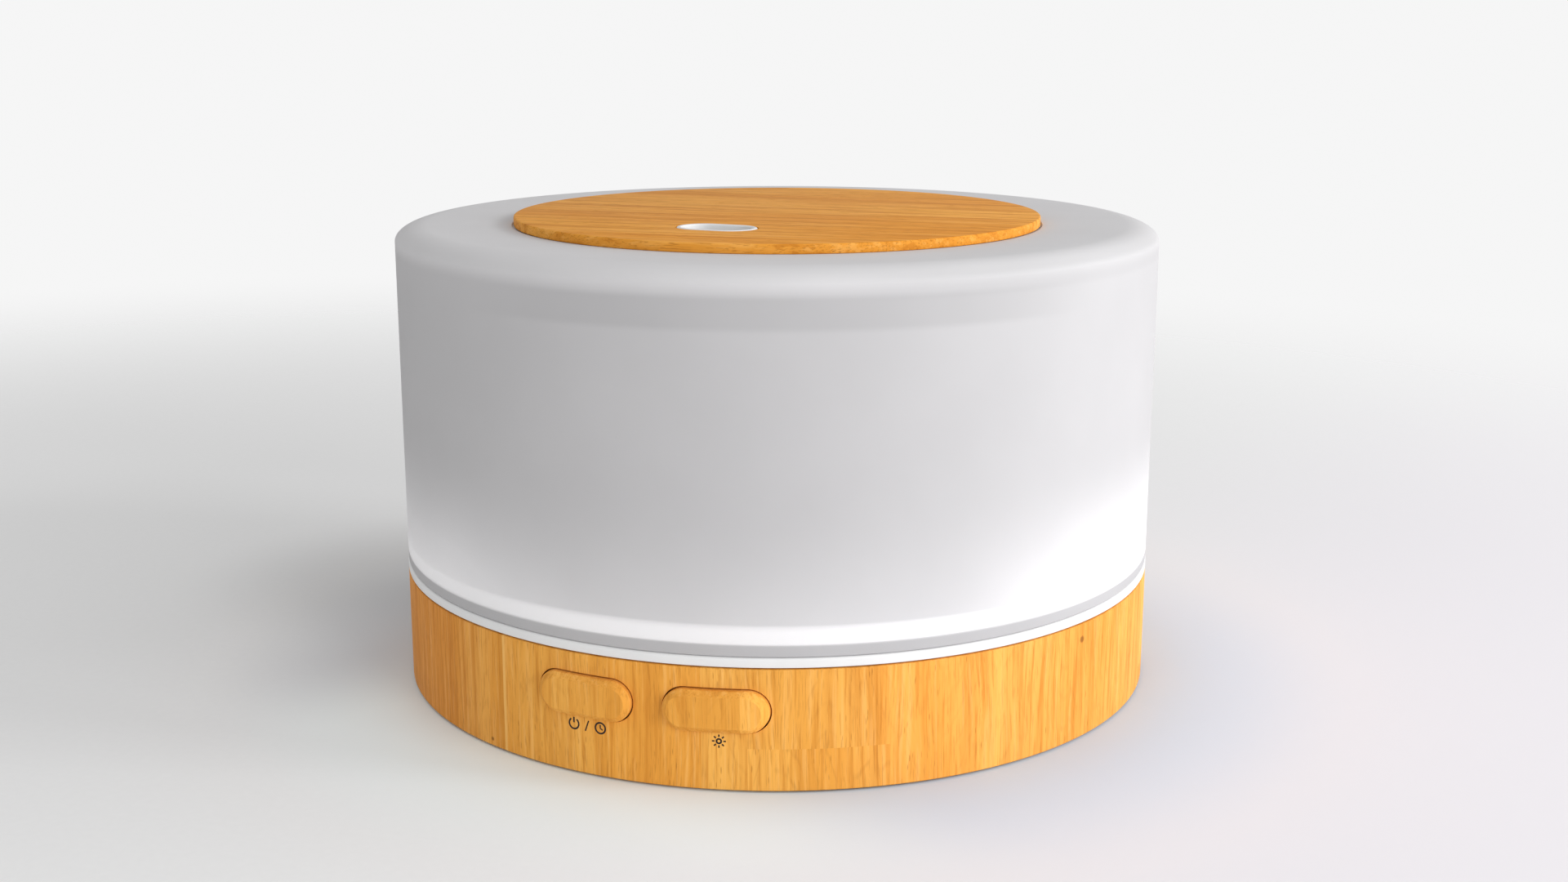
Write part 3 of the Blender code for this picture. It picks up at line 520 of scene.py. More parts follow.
def rounded_box(half_x, half_y, radius, steps=10):
    """The outline of a rectangle with round corners."""
    outline = []
    for quarter, (x, y) in enumerate(((1, 1), (-1, 1), (-1, -1), (1, -1))):
        outline += arc((x * (half_x - radius), y * (half_y - radius)), (radius, radius),
                       90 * quarter, 90 * quarter + 90, steps)
    return outline


def mesh_of(solid):
    """The mesh of a bmesh whose faces are complete, with its normals outward."""
    bmesh.ops.recalc_face_normals(solid, faces=solid.faces)
    mesh = bpy.data.meshes.new("made")
    solid.to_mesh(mesh)
    solid.free()
    return mesh


def bridge(solid, low, high):
    """Faces between two closed loops of as many vertices."""
    for index in range(len(low)):
        after = (index + 1) % len(low)
        solid.faces.new((low[index], low[after], high[after], high[index]))


def skin(rows, closed=False):
    """A mesh from rows of points in millimetres: the rows are bridged, and the ends are
    joined when the profile is closed or else capped."""
    solid = bmesh.new()
    made = [[solid.verts.new(Vector(point) * MM) for point in row] for row in rows]
    pairs = list(zip(made, made[1:]))
    if closed:
        pairs.append((made[-1], made[0]))
    for low, high in pairs:
        bridge(solid, low, high)
    if not closed:
        solid.faces.new(made[0])
        solid.faces.new(made[-1])
    bmesh.ops.remove_doubles(solid, verts=solid.verts, dist=WELD)
    return mesh_of(solid)


def turned(profile, at=(0, 0, 0), steps=FINE, closed=False):
    """A profile of (radius, height) turned about Z. One that starts or ends on the axis
    is capped there."""
    ring_of = [(math.cos(math.tau * i / steps), math.sin(math.tau * i / steps))
               for i in range(steps)]
    rows = [[(at[0] + r * c, at[1] + r * s, at[2] + z) for c, s in ring_of]
            for r, z in profile if r > 0]
    return skin(rows, closed)


def swept(outline_of, profile, at=(0, 0), turn=0.0, closed=False):
    """Rows of an outline, each drawn at the offset and height that the profile gives."""
    angle = math.radians(turn)
    c, s = math.cos(angle), math.sin(angle)
    rows = [[(at[0] + x * c - y * s, at[1] + x * s + y * c, z) for x, y in outline_of(offset)]
            for offset, z in profile]
    return skin(rows, closed)


def place(name, mesh, finish=None, nodes=(), body=None, sharp=35):
    """Put a mesh in the scene. With a finish it is a piece that stands for CAD nodes."""
    thing = bpy.data.objects.new(name, mesh)
    bpy.context.scene.collection.objects.link(thing)
    if finish:
        settle(thing, finish, nodes, body, sharp)
    return thing


def settle(thing, finish, nodes=(), body=None, sharp=35):
    """Finish a piece: its material, shading, body and the nodes it stands for."""
    thing.data.materials.clear()
    thing.data.materials.append(FINISHES[finish])
    thing.data.shade_smooth()
    thing.data.set_sharp_from_angle(angle=math.radians(sharp))
    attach(thing, body or BODY_OF[nodes[0]])
    if nodes:
        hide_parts(*nodes)
    return thing


def combine(thing, others, operation):
    """Cut, join or cross a solid with others, which are used up."""
    for other in others:
        boolean = thing.modifiers.new("boolean", "BOOLEAN")
        boolean.operation = operation
        boolean.solver = "EXACT"
        boolean.object = other
    graph = bpy.context.evaluated_depsgraph_get()
    mesh = bpy.data.meshes.new_from_object(thing.evaluated_get(graph))
    thing.modifiers.clear()
    thing.data = mesh
    for other in others:
        bpy.data.objects.remove(other, do_unlink=True)
    return thing


def cut(thing, *others):
    """Take the others away from a solid."""
    return combine(thing, others, "DIFFERENCE")


def join(thing, *others):
    """Make a solid one with the others."""
    return combine(thing, others, "UNION")


def helper(mesh):
    """A solid that is used up in a cut or a join."""
    return place("helper", mesh)


def cylinder(radius, low, high, at=(0, 0), steps=48):
    """A helper cylinder along Z between two heights."""
    return helper(turned([(radius, low), (radius, high)], (at[0], at[1], 0), steps))


def moved(mesh, at, angle=0.0, axis="Z"):
    """The mesh turned about an axis through the origin, then moved by millimetres."""
    mesh.transform(Matrix.Translation(Vector(at) * MM)
                   @ Matrix.Rotation(math.radians(angle), 4, axis))
    return mesh


def cylinder_y(radius, start, end, at, steps=64):
    """A helper cylinder along Y between two places, at an (x, z)."""
    return helper(moved(turned([(radius, start), (radius, end)], steps=steps),
                        (at[0], 0, at[1]), -90, "X"))


def block(low, high):
    """A helper block between two corners."""
    low, high = Vector(low), Vector(high)
    outline = [(low.x, low.y), (high.x, low.y), (high.x, high.y), (low.x, high.y)]
    return helper(skin([[(x, y, z) for x, y in outline] for z in (low.z, high.z)]))


# ---------------------------------------------------------------- cover


def slot_outline(offset):
    return stadium(SLOT_HALF[0] + offset, SLOT_HALF[1] + offset)


def slot_helper(offset):
    return helper(swept(slot_outline, [(offset, 80), (offset, 120)], SLOT_AT, SLOT_AZIMUTH))


def make_cover():
    """The frosted shell, with a seat for the disc and a slot for the mist."""
    seat_r, seat_z = PLATE_R + GAP, PLATE_LOW.z - GAP
    inner_r = COVER_R - COVER_WALL
    edge_r, edge_z, inner_round = 6.9, 3.2, 6.2
    rim_under, centre_under = 96.1, 98.4
    seat_top = COVER_HIGH.z - 0.55  # the top dips a little towards the disc
    profile = [(seat_r, seat_z), (seat_r, seat_top - 0.15), (seat_r + 0.15, seat_top)]
    profile += arc((COVER_R - edge_r, COVER_HIGH.z - edge_z), (edge_r, edge_z), 90, 0, 24)
    foot = COVER_LOW.z - 0.2
    profile += rounded([(COVER_R, 60.0), (COVER_R, foot, 0.3), (inner_r, foot, 0.3),
                        (inner_r, 60.0)])[1:-1]
    profile += arc((inner_r - inner_round, rim_under - inner_round),
                   (inner_round, inner_round), 0, 90, 12)
    profile += [(70.0, rim_under), (68.0, centre_under), (2.0, centre_under)]
    cover = place("cover_shell", turned(profile))
    cut(cover, slot_helper(GAP))
    settle(cover, "frosted_plastic", ["frosted_cover"])


def make_top_plate():
    """The disc that is let into the cover's top."""
    low, high = PLATE_LOW.z, PLATE_HIGH.z
    profile = rounded([(0, high), (PLATE_R, high, 0.35), (PLATE_R, low, 0.15), (0, low)])
    plate = place("wood_disc", turned(profile))
    cut(plate, slot_helper(GAP))
    settle(plate, "wood_plate", ["top_plate"])


def make_mist_guides():
    """The slot's lining, and the pipe that leads the mist up to it."""
    low, high = NOZZLE_LOW.z, NOZZLE_HIGH.z
    profile = rounded([(0, high, 0.35), (-NOZZLE_WALL, high, 0.35), (-NOZZLE_WALL, low, 0.1),
                       (0, low, 0.1)])
    place("slot_lining", swept(slot_outline, profile, SLOT_AT, SLOT_AZIMUTH, closed=True),
          "white_plastic", ["mist_nozzle"])
    low, high = CHIMNEY_LOW.z, CHIMNEY_HIGH.z
    flange = 96.6
    profile = rounded([(2.5, high, 0.2), (-NOZZLE_WALL, high, 0.2), (-NOZZLE_WALL, low, 0.3),
                       (0, low, 0.3), (0, flange, 0.8), (2.5, flange, 0.3)])
    place("mist_pipe", swept(slot_outline, profile, SLOT_AT, SLOT_AZIMUTH, closed=True),
          "white_plastic", ["mist_chimney"])


# ---------------------------------------------------------------- tank


def level_mark(height, sweep):
    """A raised line inside the bowl, on the wall behind the fill."""
    mark_azimuth, steps = 205.0, 12
    rows = []
    for step in range(steps + 1):
        at = polar(1.0, mark_azimuth + sweep * (2 * step / steps - 1))
        rows.append([(at.x * r, at.y * r, height + rise) for r, rise in
                     ((BOWL_R + 0.4, -0.35), (BOWL_R - 0.35, -0.2),
                      (BOWL_R - 0.35, 0.2), (BOWL_R + 0.4, 0.35))])
    return helper(skin(rows))


def make_tank():
    """The tank in one piece: bowl, ledge, lip, skirt, atomizer well, air tower and posts."""
    skirt_r = CASING_R - CASING_WALL - GAP
    outer_r, floor_under = 74.4, 34.0
    profile = rounded([
        (BOWL_R, TANK_RIM, 0.9), (outer_r, TANK_RIM, 0.9), (outer_r, LEDGE_TOP, 3.0),
        (skirt_r, LEDGE_TOP, 0.5), (skirt_r, LIP_TOP, 0.3), (CASING_R, LIP_TOP, 0.6),
        (CASING_R, LIP_BASE, 0.25), (skirt_r, LIP_BASE), (skirt_r, 23.0, 0.3),
        (skirt_r - 2.0, 23.0, 0.3), (skirt_r - 2.0, LEDGE_TOP - 2.0), (BOWL_R, LEDGE_TOP - 2.0),
        (BOWL_R, floor_under), (13.0, floor_under), (13.0, 30.0), (11.0, 30.0), (11.0, 32.6),
        (8.0, 32.6), (8.0, 34.6, 0.8), (10.5, 35.2, 2.0),
        *[(r, 35.2 + 0.8 * (r - 10.5) / 53.7) for r in (20.0, 30.0, 38.0, 45.0, 52.0, 58.0)],
        (64.2, 36.0)], 6)
    profile += arc((BOWL_R - 8.0, 44.0), (8.0, 8.0), 272, 360, 14)
    tank = place("tank_body", turned(profile, closed=True))

    foot_fillet = [(3.0 - x, 39.0 - z) for x, z in arc((0, 0), (3.0, 3.0), 90, 0, 6)]
    top_round = [(0, TOWER_TOP - 0.4), (-0.12, TOWER_TOP - 0.12), (-0.4, TOWER_TOP)]
    tower = swept(tower_outline, [(3.0, 35.0)] + foot_fillet + top_round, TOWER_AT)
    join(tank, helper(tower), *[level_mark(46.0 + 6.0 * step, 9.0 if step == 3 else 4.5)
                                for step in range(4)])
    posts_top = floor_under + 0.8  # inside the floor, so that they join it
    posts, holes = [], [helper(swept(tower_outline, [(-1.8, 20.0), (-1.8, 80.0)], TOWER_AT))]
    for at in CASE_SCREWS:
        posts.append(cylinder(3.6, FLOOR_TOP + GAP, posts_top, at))
        holes.append(cylinder(1.9, 0, 15.0, at))
    for azimuth in RETAINER_AZIMUTHS:
        at = polar(RETAINER_SCREW_R, azimuth)
        posts.append(cylinder(2.6, 29.5, posts_top, at))
        holes.append(cylinder(1.3, 20, 33.4, at))
    for azimuth in LAMP_POST_AZIMUTHS:
        at = polar(LAMP_CIRCLE, azimuth)
        posts.append(cylinder(2.0, 28.9, posts_top, at))
        posts.append(cylinder(1.0, 26.2, 30.0, at))  # a peg through the lamp board
    join(tank, *posts)
    cut(tank, *holes)
    settle(tank, "white_plastic", ["water_tank"])


def tower_outline(offset):
    return rounded_box(TOWER_HALF[0] + offset, TOWER_HALF[1] + offset, 3.0 + offset)


def make_hood():
    """A cap over the tower, with a window on the side that faces the bowl's middle."""
    inner, outer, under = GAP, 1.8, 75.0
    low, high = HOOD_LOW.z, HOOD_HIGH.z
    profile = [(inner - 0.6, under), (inner, under - 0.6), (inner, low + 0.3), (inner + 0.3, low),
               (outer - 0.3, low), (outer, low + 0.3)]
    profile += [(outer - 2.0 + x, z) for x, z in arc((0, high - 2.0), (2.0, 2.0), 0, 90, 8)]
    hood = place("tower_cap", swept(tower_outline, profile, TOWER_AT))
    half_width, sill, head, corner = 11.0, TOWER_TOP + 0.5, 74.2, 1.2
    window = rounded([(-half_width, sill, corner), (half_width, sill, corner),
                      (half_width, head, corner), (-half_width, head, corner)])
    through = (TOWER_AT.x - 20, TOWER_AT.x)
    cut(hood, helper(skin([[(x, y, z) for y, z in window] for x in through])))
    settle(hood, "white_plastic", ["air_outlet_hood"])


# ---------------------------------------------------------------- base


def button_columns(inset):
    """The button's outline, inset, as matched (x, half height) columns from left to right."""
    half_length, half_width = BUTTON_HALF[0] - inset, BUTTON_HALF[1] - inset
    straight = half_length - half_width
    left = [(-straight - half_width * math.cos(math.radians(a)),
             half_width * math.sin(math.radians(a))) for a in range(6, 91, 6)]
    middle = [(-straight + 2 * straight * i / 10, half_width) for i in range(1, 10)]
    return left + middle + [(-x, h) for x, h in reversed(left)]


def button_loop(centre_x, inset, radius):
    """The outline laid on a cylinder about the casing's axis, from left end round to it."""
    half_length = BUTTON_HALF[0] - inset
    columns = button_columns(inset)
    flat = [(-half_length, 0.0)] + columns + [(half_length, 0.0)]
    flat += [(x, -h) for x, h in reversed(columns)]
    return [(centre_x + x, -math.sqrt(radius ** 2 - (centre_x + x) ** 2), BUTTON_Z + z)
            for x, z in flat]


def make_button(name, centre_x):
    """A cap with a curved face and a bevel all round, a flange behind the casing and a stem."""
    shoulder_r = BUTTON_FACE_R - BUTTON_CHAMFER
    flange, flange_r, back_r = -1.5, CASING_R - CASING_WALL - GAP, CASING_R - CASING_WALL - 1.65
    levels = [(BUTTON_CHAMFER + 0.06, BUTTON_FACE_R), (BUTTON_CHAMFER - 0.04, BUTTON_FACE_R - 0.05),
              (0.04, shoulder_r + 0.04), (0.0, shoulder_r - 0.05), (0.0, flange_r),
              (flange, flange_r), (flange, back_r)]
    solid = bmesh.new()
    loops = [[solid.verts.new(Vector(point) * MM) for point in button_loop(centre_x, inset, radius)]
             for inset, radius in levels]
    for low, high in zip(loops, loops[1:]):
        bridge(solid, low, high)
    for loop in (loops[0], loops[-1]):
        half = len(loop) // 2
        solid.faces.new((loop[0], loop[1], loop[-1]))
        solid.faces.new((loop[half], loop[half - 1], loop[half + 1]))
        for index in range(1, half - 1):
            solid.faces.new((loop[index], loop[index + 1], loop[-index - 1], loop[-index]))
    cap = place(f"{name}_cap", mesh_of(solid))
    join(cap, cylinder_y(2.0, -79.4, -77.0, (centre_x, BUTTON_Z)))
    settle(cap, "wood_button", [f"{name}_button"], sharp=20)


def make_base_ring():
    """The casing: a ledge inside over the base plate, two button holes and the inlet's."""
    inner = CASING_R - CASING_WALL
    low, high = RING_LOW.z, RING_HIGH.z
    profile = rounded([(inner, high, 0.2), (CASING_R, high, 0.3), (CASING_R, low, 0.3),
                       (inner, low, 0.2), (inner, 3.7), (inner - 2.0, 3.7, 0.2),
                       (inner - 2.0, 5.2, 0.2), (inner, 5.2)])
    casing = place("wood_casing", turned(profile, closed=True))
    holes = []
    for side in (-1, 1):
        outline = stadium(BUTTON_HALF[0] + GAP, BUTTON_HALF[1] + GAP)
        rows = [[(side * BUTTON_X + x, y, BUTTON_Z + z) for x, z in outline] for y in (-95, -70)]
        holes.append(helper(skin(rows)))
    holes.append(cylinder_y(4.3, 70, 100, (0, JACK_Z)))
    cut(casing, *holes)
    settle(casing, "wood_ring", ["base_ring"])


def make_floor_plate():
    """The floor of the base, with posts, the inlet's rest, board guides, feet seats and vents."""
    radius = CASING_R - CASING_WALL - GAP
    low, high = 1.2, FLOOR_TOP
    root = high - 0.8  # posts start inside the floor, so that they join it
    plate = place("base_plate", turned(rounded([(0, high), (radius, high, 0.3),
                                                (radius, low, 0.4), (0, low)])))
    posts = [cylinder(2.7, root, BOARD_LOW.z - GAP, at) for at in BOARD_POSTS]
    posts += [cylinder(3.2, root, FAN_BASE - GAP, at) for at in fan_corners()]
    inlet_rest = block((-5.0, 69.0, root), (5.0, 78.6, 7.0))
    posts.append(inlet_rest)
    for side in (-1, 1):
        near, far = sorted((side * 23.0, side * 29.0))
        guide = block((near, -73.5, root), (far, -68.2, 20.0))
        board_slot = block((-25.3, -72.0, 8.7), (25.3, -69.8, 30.0))
        posts.append(cut(guide, board_slot))
    join(plate, *posts)
    tools = [cylinder(1.5, 4.0, 20, at) for at in BOARD_SCREWS]
    tools += [cylinder(1.7, 2.2, 20, at) for at in FAN_SCREWS]
    for at in CASE_SCREWS:
        tools.append(cylinder(1.9, 0, 6, at))
        sink = [(3.8, 0), (3.8, 1.3), (3.5, 1.6), (3.5, 2.3)]
        tools.append(helper(turned(sink, (*at, 0), 64)))
    for azimuth in FOOT_AZIMUTHS:
        tools.append(cylinder(7.3, 0, 1.8, polar(FOOT_REACH, azimuth), 96))
    vent_pitch, vent_half, vents_r = 4.6, 1.3, 17.0
    for number in range(-3, 4):
        offset = number * vent_pitch
        half = math.sqrt(vents_r ** 2 - offset ** 2) - 1.2
        tools.append(helper(swept(lambda _: stadium(half, vent_half, 12), [(0, 0), (0, 6)],
                                  (FAN_AT.x, FAN_AT.y + offset))))
    inner, outer, depth = 77.2, 78.0, 0.4
    groove = [(outer, low - 0.3), (outer, low + depth), (inner, low + depth), (inner, low - 0.3)]
    tools.append(helper(turned(groove, closed=True)))
    cut(plate, *tools)
    settle(plate, "white_plastic", ["bottom_cover"])


def make_feet():
    """Four round pads with a ring pressed into their undersides."""
    profile = rounded([(0, 1.5), (7.0, 1.5, 0.2), (7.0, 0.0, 0.5), (5.2, 0.0, 0.15),
                       (5.0, 0.35, 0.15), (4.4, 0.35, 0.15), (4.2, 0.0, 0.15), (0, 0)])
    for number, azimuth in enumerate(FOOT_AZIMUTHS, 1):
        place(f"foot_pad_{number}", turned(profile, (*polar(FOOT_REACH, azimuth), 0), 96),
              "rubber", [f"rubber_foot_{number}"])


def screw_mesh(at, head_r, head_h, shank_r, length, up=True):
    """A pan head screw with a turned thread and a cross recess."""
    pitch = shank_r * 0.75
    turns = int((length - 1.0) / pitch)
    profile = [(shank_r * 0.25, length), (shank_r * 0.8, length - 0.8)]
    for turn in range(turns):
        z = length - 0.9 - turn * pitch
        profile += [(shank_r, z), (shank_r * 0.78, z - pitch * 0.5)]
    profile += [(shank_r * 0.8, 0.0)]
    profile += rounded([(shank_r * 0.8, 0), (head_r, 0, 0.15), (head_r * 0.9, -head_h, 0.45),
                        (0, -head_h)])[1:]
    screw = helper(turned(profile, steps=40))
    depth = head_h * 0.75
    for angle in (0, 90):
        wing = skin([[(x, y, z) for x, y in rounded_box(head_r * s, head_r * 0.13 * s, 0.05, 2)]
                     for z, s in ((-head_h - 1, 0.75), (-head_h, 0.62), (-head_h + depth, 0.25))])
        cut(screw, helper(moved(wing, (0, 0, 0), angle + 20)))
    mesh = screw.data.copy()
    bpy.data.objects.remove(screw, do_unlink=True)
    return moved(mesh, at, 0 if up else 180, "X")


def make_screws(name, node, places, height, sizes, up=True):
    """Like screws whose heads sit at a height; sizes are as screw_mesh takes them."""
    for number, at in enumerate(places, 1):
        place(f"{name}_{number}", screw_mesh((*at, height), *sizes, up=up), "steel",
              [f"{node}_{number}"])


# ---------------------------------------------------------------- marks by the buttons


def stroke(path, width):
    """A ribbon of a width along a flat path, as left and right rows of points."""
    points = [Vector(point) for point in path]
    left, right = [], []
    for index, here in enumerate(points):
        back = points[max(index - 1, 0)]
        ahead = points[min(index + 1, len(points) - 1)]
        side = (ahead - back).normalized().orthogonal() * (width / 2)
        left.append(here + side)
        right.append(here - side)
    return left, right


def ink_marks(name, azimuth, height, strokes):
    """Flat line drawings printed on the casing, as one thin piece that follows its curve."""
    low_r, high_r = CASING_R - 0.06, CASING_R + 0.02
    solid = bmesh.new()
    for path, width in strokes:
        left, right = stroke(path, width)
        rows = []
        for a, b in zip(left, right):
            row = []
            for point, radius in ((a, low_r), (a, high_r), (b, high_r), (b, low_r)):
                at = polar(radius, azimuth + math.degrees(point.x / CASING_R))
                row.append(solid.verts.new(Vector((at.x, at.y, height + point.y)) * MM))
            rows.append(row)
        for before, after in zip(rows, rows[1:]):
            bridge(solid, before, after)
        solid.faces.new(rows[0])
        solid.faces.new(rows[-1])
    place(name, mesh_of(solid), "ink", (), "base")


def make_marks():
    """A power sign and a clock under the first button, and a lamp under the second."""
    size, line = 1.1, 0.34
    power = [(arc((-3.0, 0), (size, size), 125, 415, 24), line),
             ([(-3.0, 0.2), (-3.0, size + 0.2)], line)]
    clock = [(arc((3.0, 0), (size, size), 0, 360, 32), line),
             ([(3.0, 0.7), (3.0, 0), (3.5, -0.35)], line * 0.8)]
    dash = [([(-0.4, -size), (0.4, size)], line * 0.8)]
    ink_marks("power_timer_mark", -8.95, 10.4, power + clock + dash)
    rays = []
    for number in range(8):
        angle = math.radians(45 * number)
        rays.append(([(0.85 * math.cos(angle), 0.85 * math.sin(angle)),
                      (1.35 * math.cos(angle), 1.35 * math.sin(angle))], line * 0.85))
    ink_marks("lamp_mark", 9.65, 10.4, [(arc((0, 0), (0.45, 0.45), 0, 360, 24), line)] + rays)


# ---------------------------------------------------------------- atomizer and lamps


def make_atomizer():
    plate = rounded([(0, 31.12), (3.2, 31.12), (3.7, 31.3), (7.3, 31.3, 0.05), (7.5, 31.2),
                     (10.0, 31.2, 0.1), (10.0, 30.7, 0.1), (0, 30.7)])
    place("atomizer_plate", turned(plate, steps=128), "brass", ["atomizer_disc"])
    seal = rounded([(10.7, 32.3, 0.25), (10.7, 31.6, 0.25), (7.6, 31.6, 0.25), (7.6, 32.3, 0.25),
                    (8.7, 32.3, 0.15), (8.9, 32.1, 0.1), (9.4, 32.1, 0.1), (9.6, 32.3, 0.15)])
    place("seal_ring", turned(seal, steps=128, closed=True), "silicone", ["atomizer_seal"])
    frame_profile = rounded([(10.4, 30.4, 0.2), (10.4, 29.2), (19.0, 29.2, 0.3), (19.0, 27.2, 0.4),
                             (6.0, 27.2, 0.4), (6.0, 29.2, 0.2), (8.4, 29.2), (8.4, 30.4, 0.2)])
    holder = place("disc_holder", turned(frame_profile, steps=128, closed=True))
    places = [polar(RETAINER_SCREW_R, azimuth) for azimuth in RETAINER_AZIMUTHS]
    cut(holder, *[cylinder(1.3, 20, 40, at) for at in places])
    settle(holder, "grey_plastic", ["atomizer_retainer"])
    make_screws("holder_screw", "retainer_screw", places, 26.9, (2.1, 1.2, 1.0, 5.8))


def make_lamps():
    profile = rounded([(29.0, 28.6, 0.15), (29.0, 27.0, 0.15), (20.5, 27.0, 0.15),
                       (20.5, 28.6, 0.15)])
    board = place("lamp_board", turned(profile, steps=192, closed=True))
    cut(board, *[cylinder(1.3, 20, 40, polar(LAMP_CIRCLE, azimuth))
                 for azimuth in LAMP_POST_AZIMUTHS])
    settle(board, "circuit_board", ["led_board"])
    for number, azimuth in enumerate(LAMP_AZIMUTHS, 1):
        x, y = polar(LAMP_CIRCLE, azimuth)
        dome = arc((0, 1.8), (2.2, 2.2), 88, 0, 16)
        dome += rounded([(2.2, 0.8), (2.8, 0.8, 0.1), (2.8, 0, 0.1), (0, 0)])
        place(f"lamp_lens_{number}", turned(dome, (x, y, 28.9), 64), "lamp", [f"led_{number}"])


# ---------------------------------------------------------------- fan and duct


def fan_corners():
    return [FAN_AT + Vector((x, y)) for x in (-FAN_HOLE, FAN_HOLE) for y in (-FAN_HOLE, FAN_HOLE)]


def make_fan_frame():
    """A square frame with a round bore, and three struts that hold the motor's seat."""
    half, waist = 20.0, 0.6
    low, high = FAN_BASE, FAN_TOP
    profile = [(-0.4, low), (0, low + 0.4), (0, low + 2.6), (-waist, low + 3.2),
               (-waist, high - 3.2), (0, high - 2.6), (0, high - 0.4), (-0.4, high)]
    housing = place("fan_frame", swept(lambda offset: rounded_box(half + offset, half + offset,
                                                                  3.0 + offset), profile, FAN_AT))
    bore = [(FAN_BORE + 0.8, low - 1.0), (FAN_BORE + 0.6, low), (FAN_BORE, low + 1.4),
            (FAN_BORE, high - 1.0), (FAN_BORE + 0.4, high), (FAN_BORE + 0.5, high + 1.0)]
    cut(housing, helper(turned(bore, FAN_CENTRE, 160)),
        *[cylinder(2.1, 0, 30, at) for at in fan_corners()])
    struts = []
    for angle in (30, 150, 270):
        strut = swept(lambda offset: [(x + 13.0, y) for x, y in rounded_box(
            7.0, 1.2 + offset, 0.5)], [(-0.5, low + 0.3), (0, low + 0.8), (0, low + 1.5)])
        struts.append(helper(moved(strut, FAN_CENTRE, angle)))
    seat = turned(rounded([(0, low + 1.7), (8.4, low + 1.7, 0.3), (8.4, low + 0.1, 0.3),
                           (0, low + 0.1)]), FAN_CENTRE, 96)
    join(housing, helper(seat), cylinder(2.5, low + 1.0, 12.8, FAN_AT), *struts)
    cut(housing, cylinder(1.35, 7.0, 30, FAN_AT))
    settle(housing, "black_plastic", ["fan_housing"])
    make_screws("fan_fixing", "fan_screw", FAN_SCREWS, high + GAP, (2.4, 1.4, 1.4, 13.0),
                up=False)


def blade_mesh():
    """A cambered, twisted blade that stands out from the hub."""
    root, tip, half_chord, middle = 8.6, 17.8, 4.4, 11.2
    rows = []
    for station in range(9):
        share = station / 8
        radius = root + (tip - root) * share
        slant = math.radians(42 + 10 * share)
        half = half_chord * (0.92 + 0.08 * math.sin(math.pi * share))
        row = []
        for side in (1, -1):
            for step in range(12):
                along = half * math.cos(math.pi * step / 12) * side
                swell = 1 - (along / half) ** 2
                off = 0.45 * swell + side * 0.42 * math.sqrt(max(swell, 0.0))
                row.append((radius, -along * math.sin(slant) + off * math.cos(slant),
                            middle + along * math.cos(slant) + off * math.sin(slant)))
        rows.append(row)
    return skin(rows)


def make_fan_rotor():
    """The impeller and its spindle, which turn, round the winding, which doesn't."""
    hub = rounded([(0, 15.2), (9.5, 15.2, 0.9), (9.5, 7.7, 0.2), (8.2, 7.7, 0.2), (8.2, 13.4, 0.4),
                   (1.35, 13.4), (1.35, 14.4), (0, 14.4)])
    impeller = place("fan_impeller", turned(hub, FAN_CENTRE, 128))
    blades = 7
    join(impeller, *[helper(moved(blade_mesh(), FAN_CENTRE, 360 * number / blades))
                     for number in range(blades)])
    settle(impeller, "black_plastic", ["fan_rotor"])
    spindle = rounded([(0, 14.1), (1.0, 14.1, 0.3), (1.0, 7.4, 0.3), (0, 7.4)])
    place("fan_spindle", turned(spindle, FAN_CENTRE, 48), "steel", ["fan_shaft"])
    coil = rounded([(7.0, 12.4, 0.8), (7.0, 7.7, 0.8), (2.9, 7.7, 0.3), (2.9, 12.4, 0.3)])
    place("fan_winding", turned(coil, FAN_CENTRE, 128, closed=True), "copper", ["fan_stator"])


def make_duct():
    """A thin wall that turns from the fan's round bore to the tower's oblong foot."""
    low, high, wall, fan_end_r = FAN_TOP + GAP, 31.9, 1.3, 19.7
    squareness, sections, count = 5, 24, 120

    def row(share, inset):
        # The section changes over the middle three fifths of the height.
        ease = min(max((share * 5 - 1) / 3, 0), 1)
        ease = ease * ease * (3 - 2 * ease)
        points = []
        for step in range(count):
            c, s = math.cos(math.tau * step / count), math.sin(math.tau * step / count)
            start = FAN_AT + Vector((c, s)) * (fan_end_r - inset)
            reach = (abs(c / (TOWER_HALF[0] - inset)) ** squareness
                     + abs(s / (TOWER_HALF[1] - inset)) ** squareness) ** (-1 / squareness)
            spot = start.lerp(TOWER_AT + Vector((c, s)) * reach, ease)
            points.append((spot.x, spot.y, low + (high - low) * share))
        return points

    rows = [row(step / sections, 0) for step in range(sections + 1)]
    rows += [row(step / sections, wall) for step in range(sections, -1, -1)]
    place("duct_shell", skin(rows, closed=True), "grey_plastic", ["air_duct"])
    gasket = [(1.0, 32.3), (1.0, 33.6), (0.8, 33.7), (-1.4, 33.7), (-1.6, 33.6), (-1.6, 32.3),
              (-1.4, 32.2), (0.8, 32.2)]
    place("duct_seal", swept(tower_outline, gasket, TOWER_AT, closed=True), "foam",
          ["duct_gasket"])


# ---------------------------------------------------------------- electronics


def slab(half, radius, low, high, at=(0, 0), edge=0.15):
    """A flat rectangle with round corners and a broken edge."""
    return swept(lambda offset: rounded_box(half[0] + offset, half[1] + offset, radius + offset),
                 [(-edge, low), (0, low + edge), (0, high - edge), (-edge, high)], at)


def slab_y(half, radius, start, end, at, edge=0.15):
    """The same, standing up, between two places along Y, at an (x, z)."""
    return moved(slab(half, radius, -end, -start, edge=edge), (at[0], 0, at[1]), 90, "X")


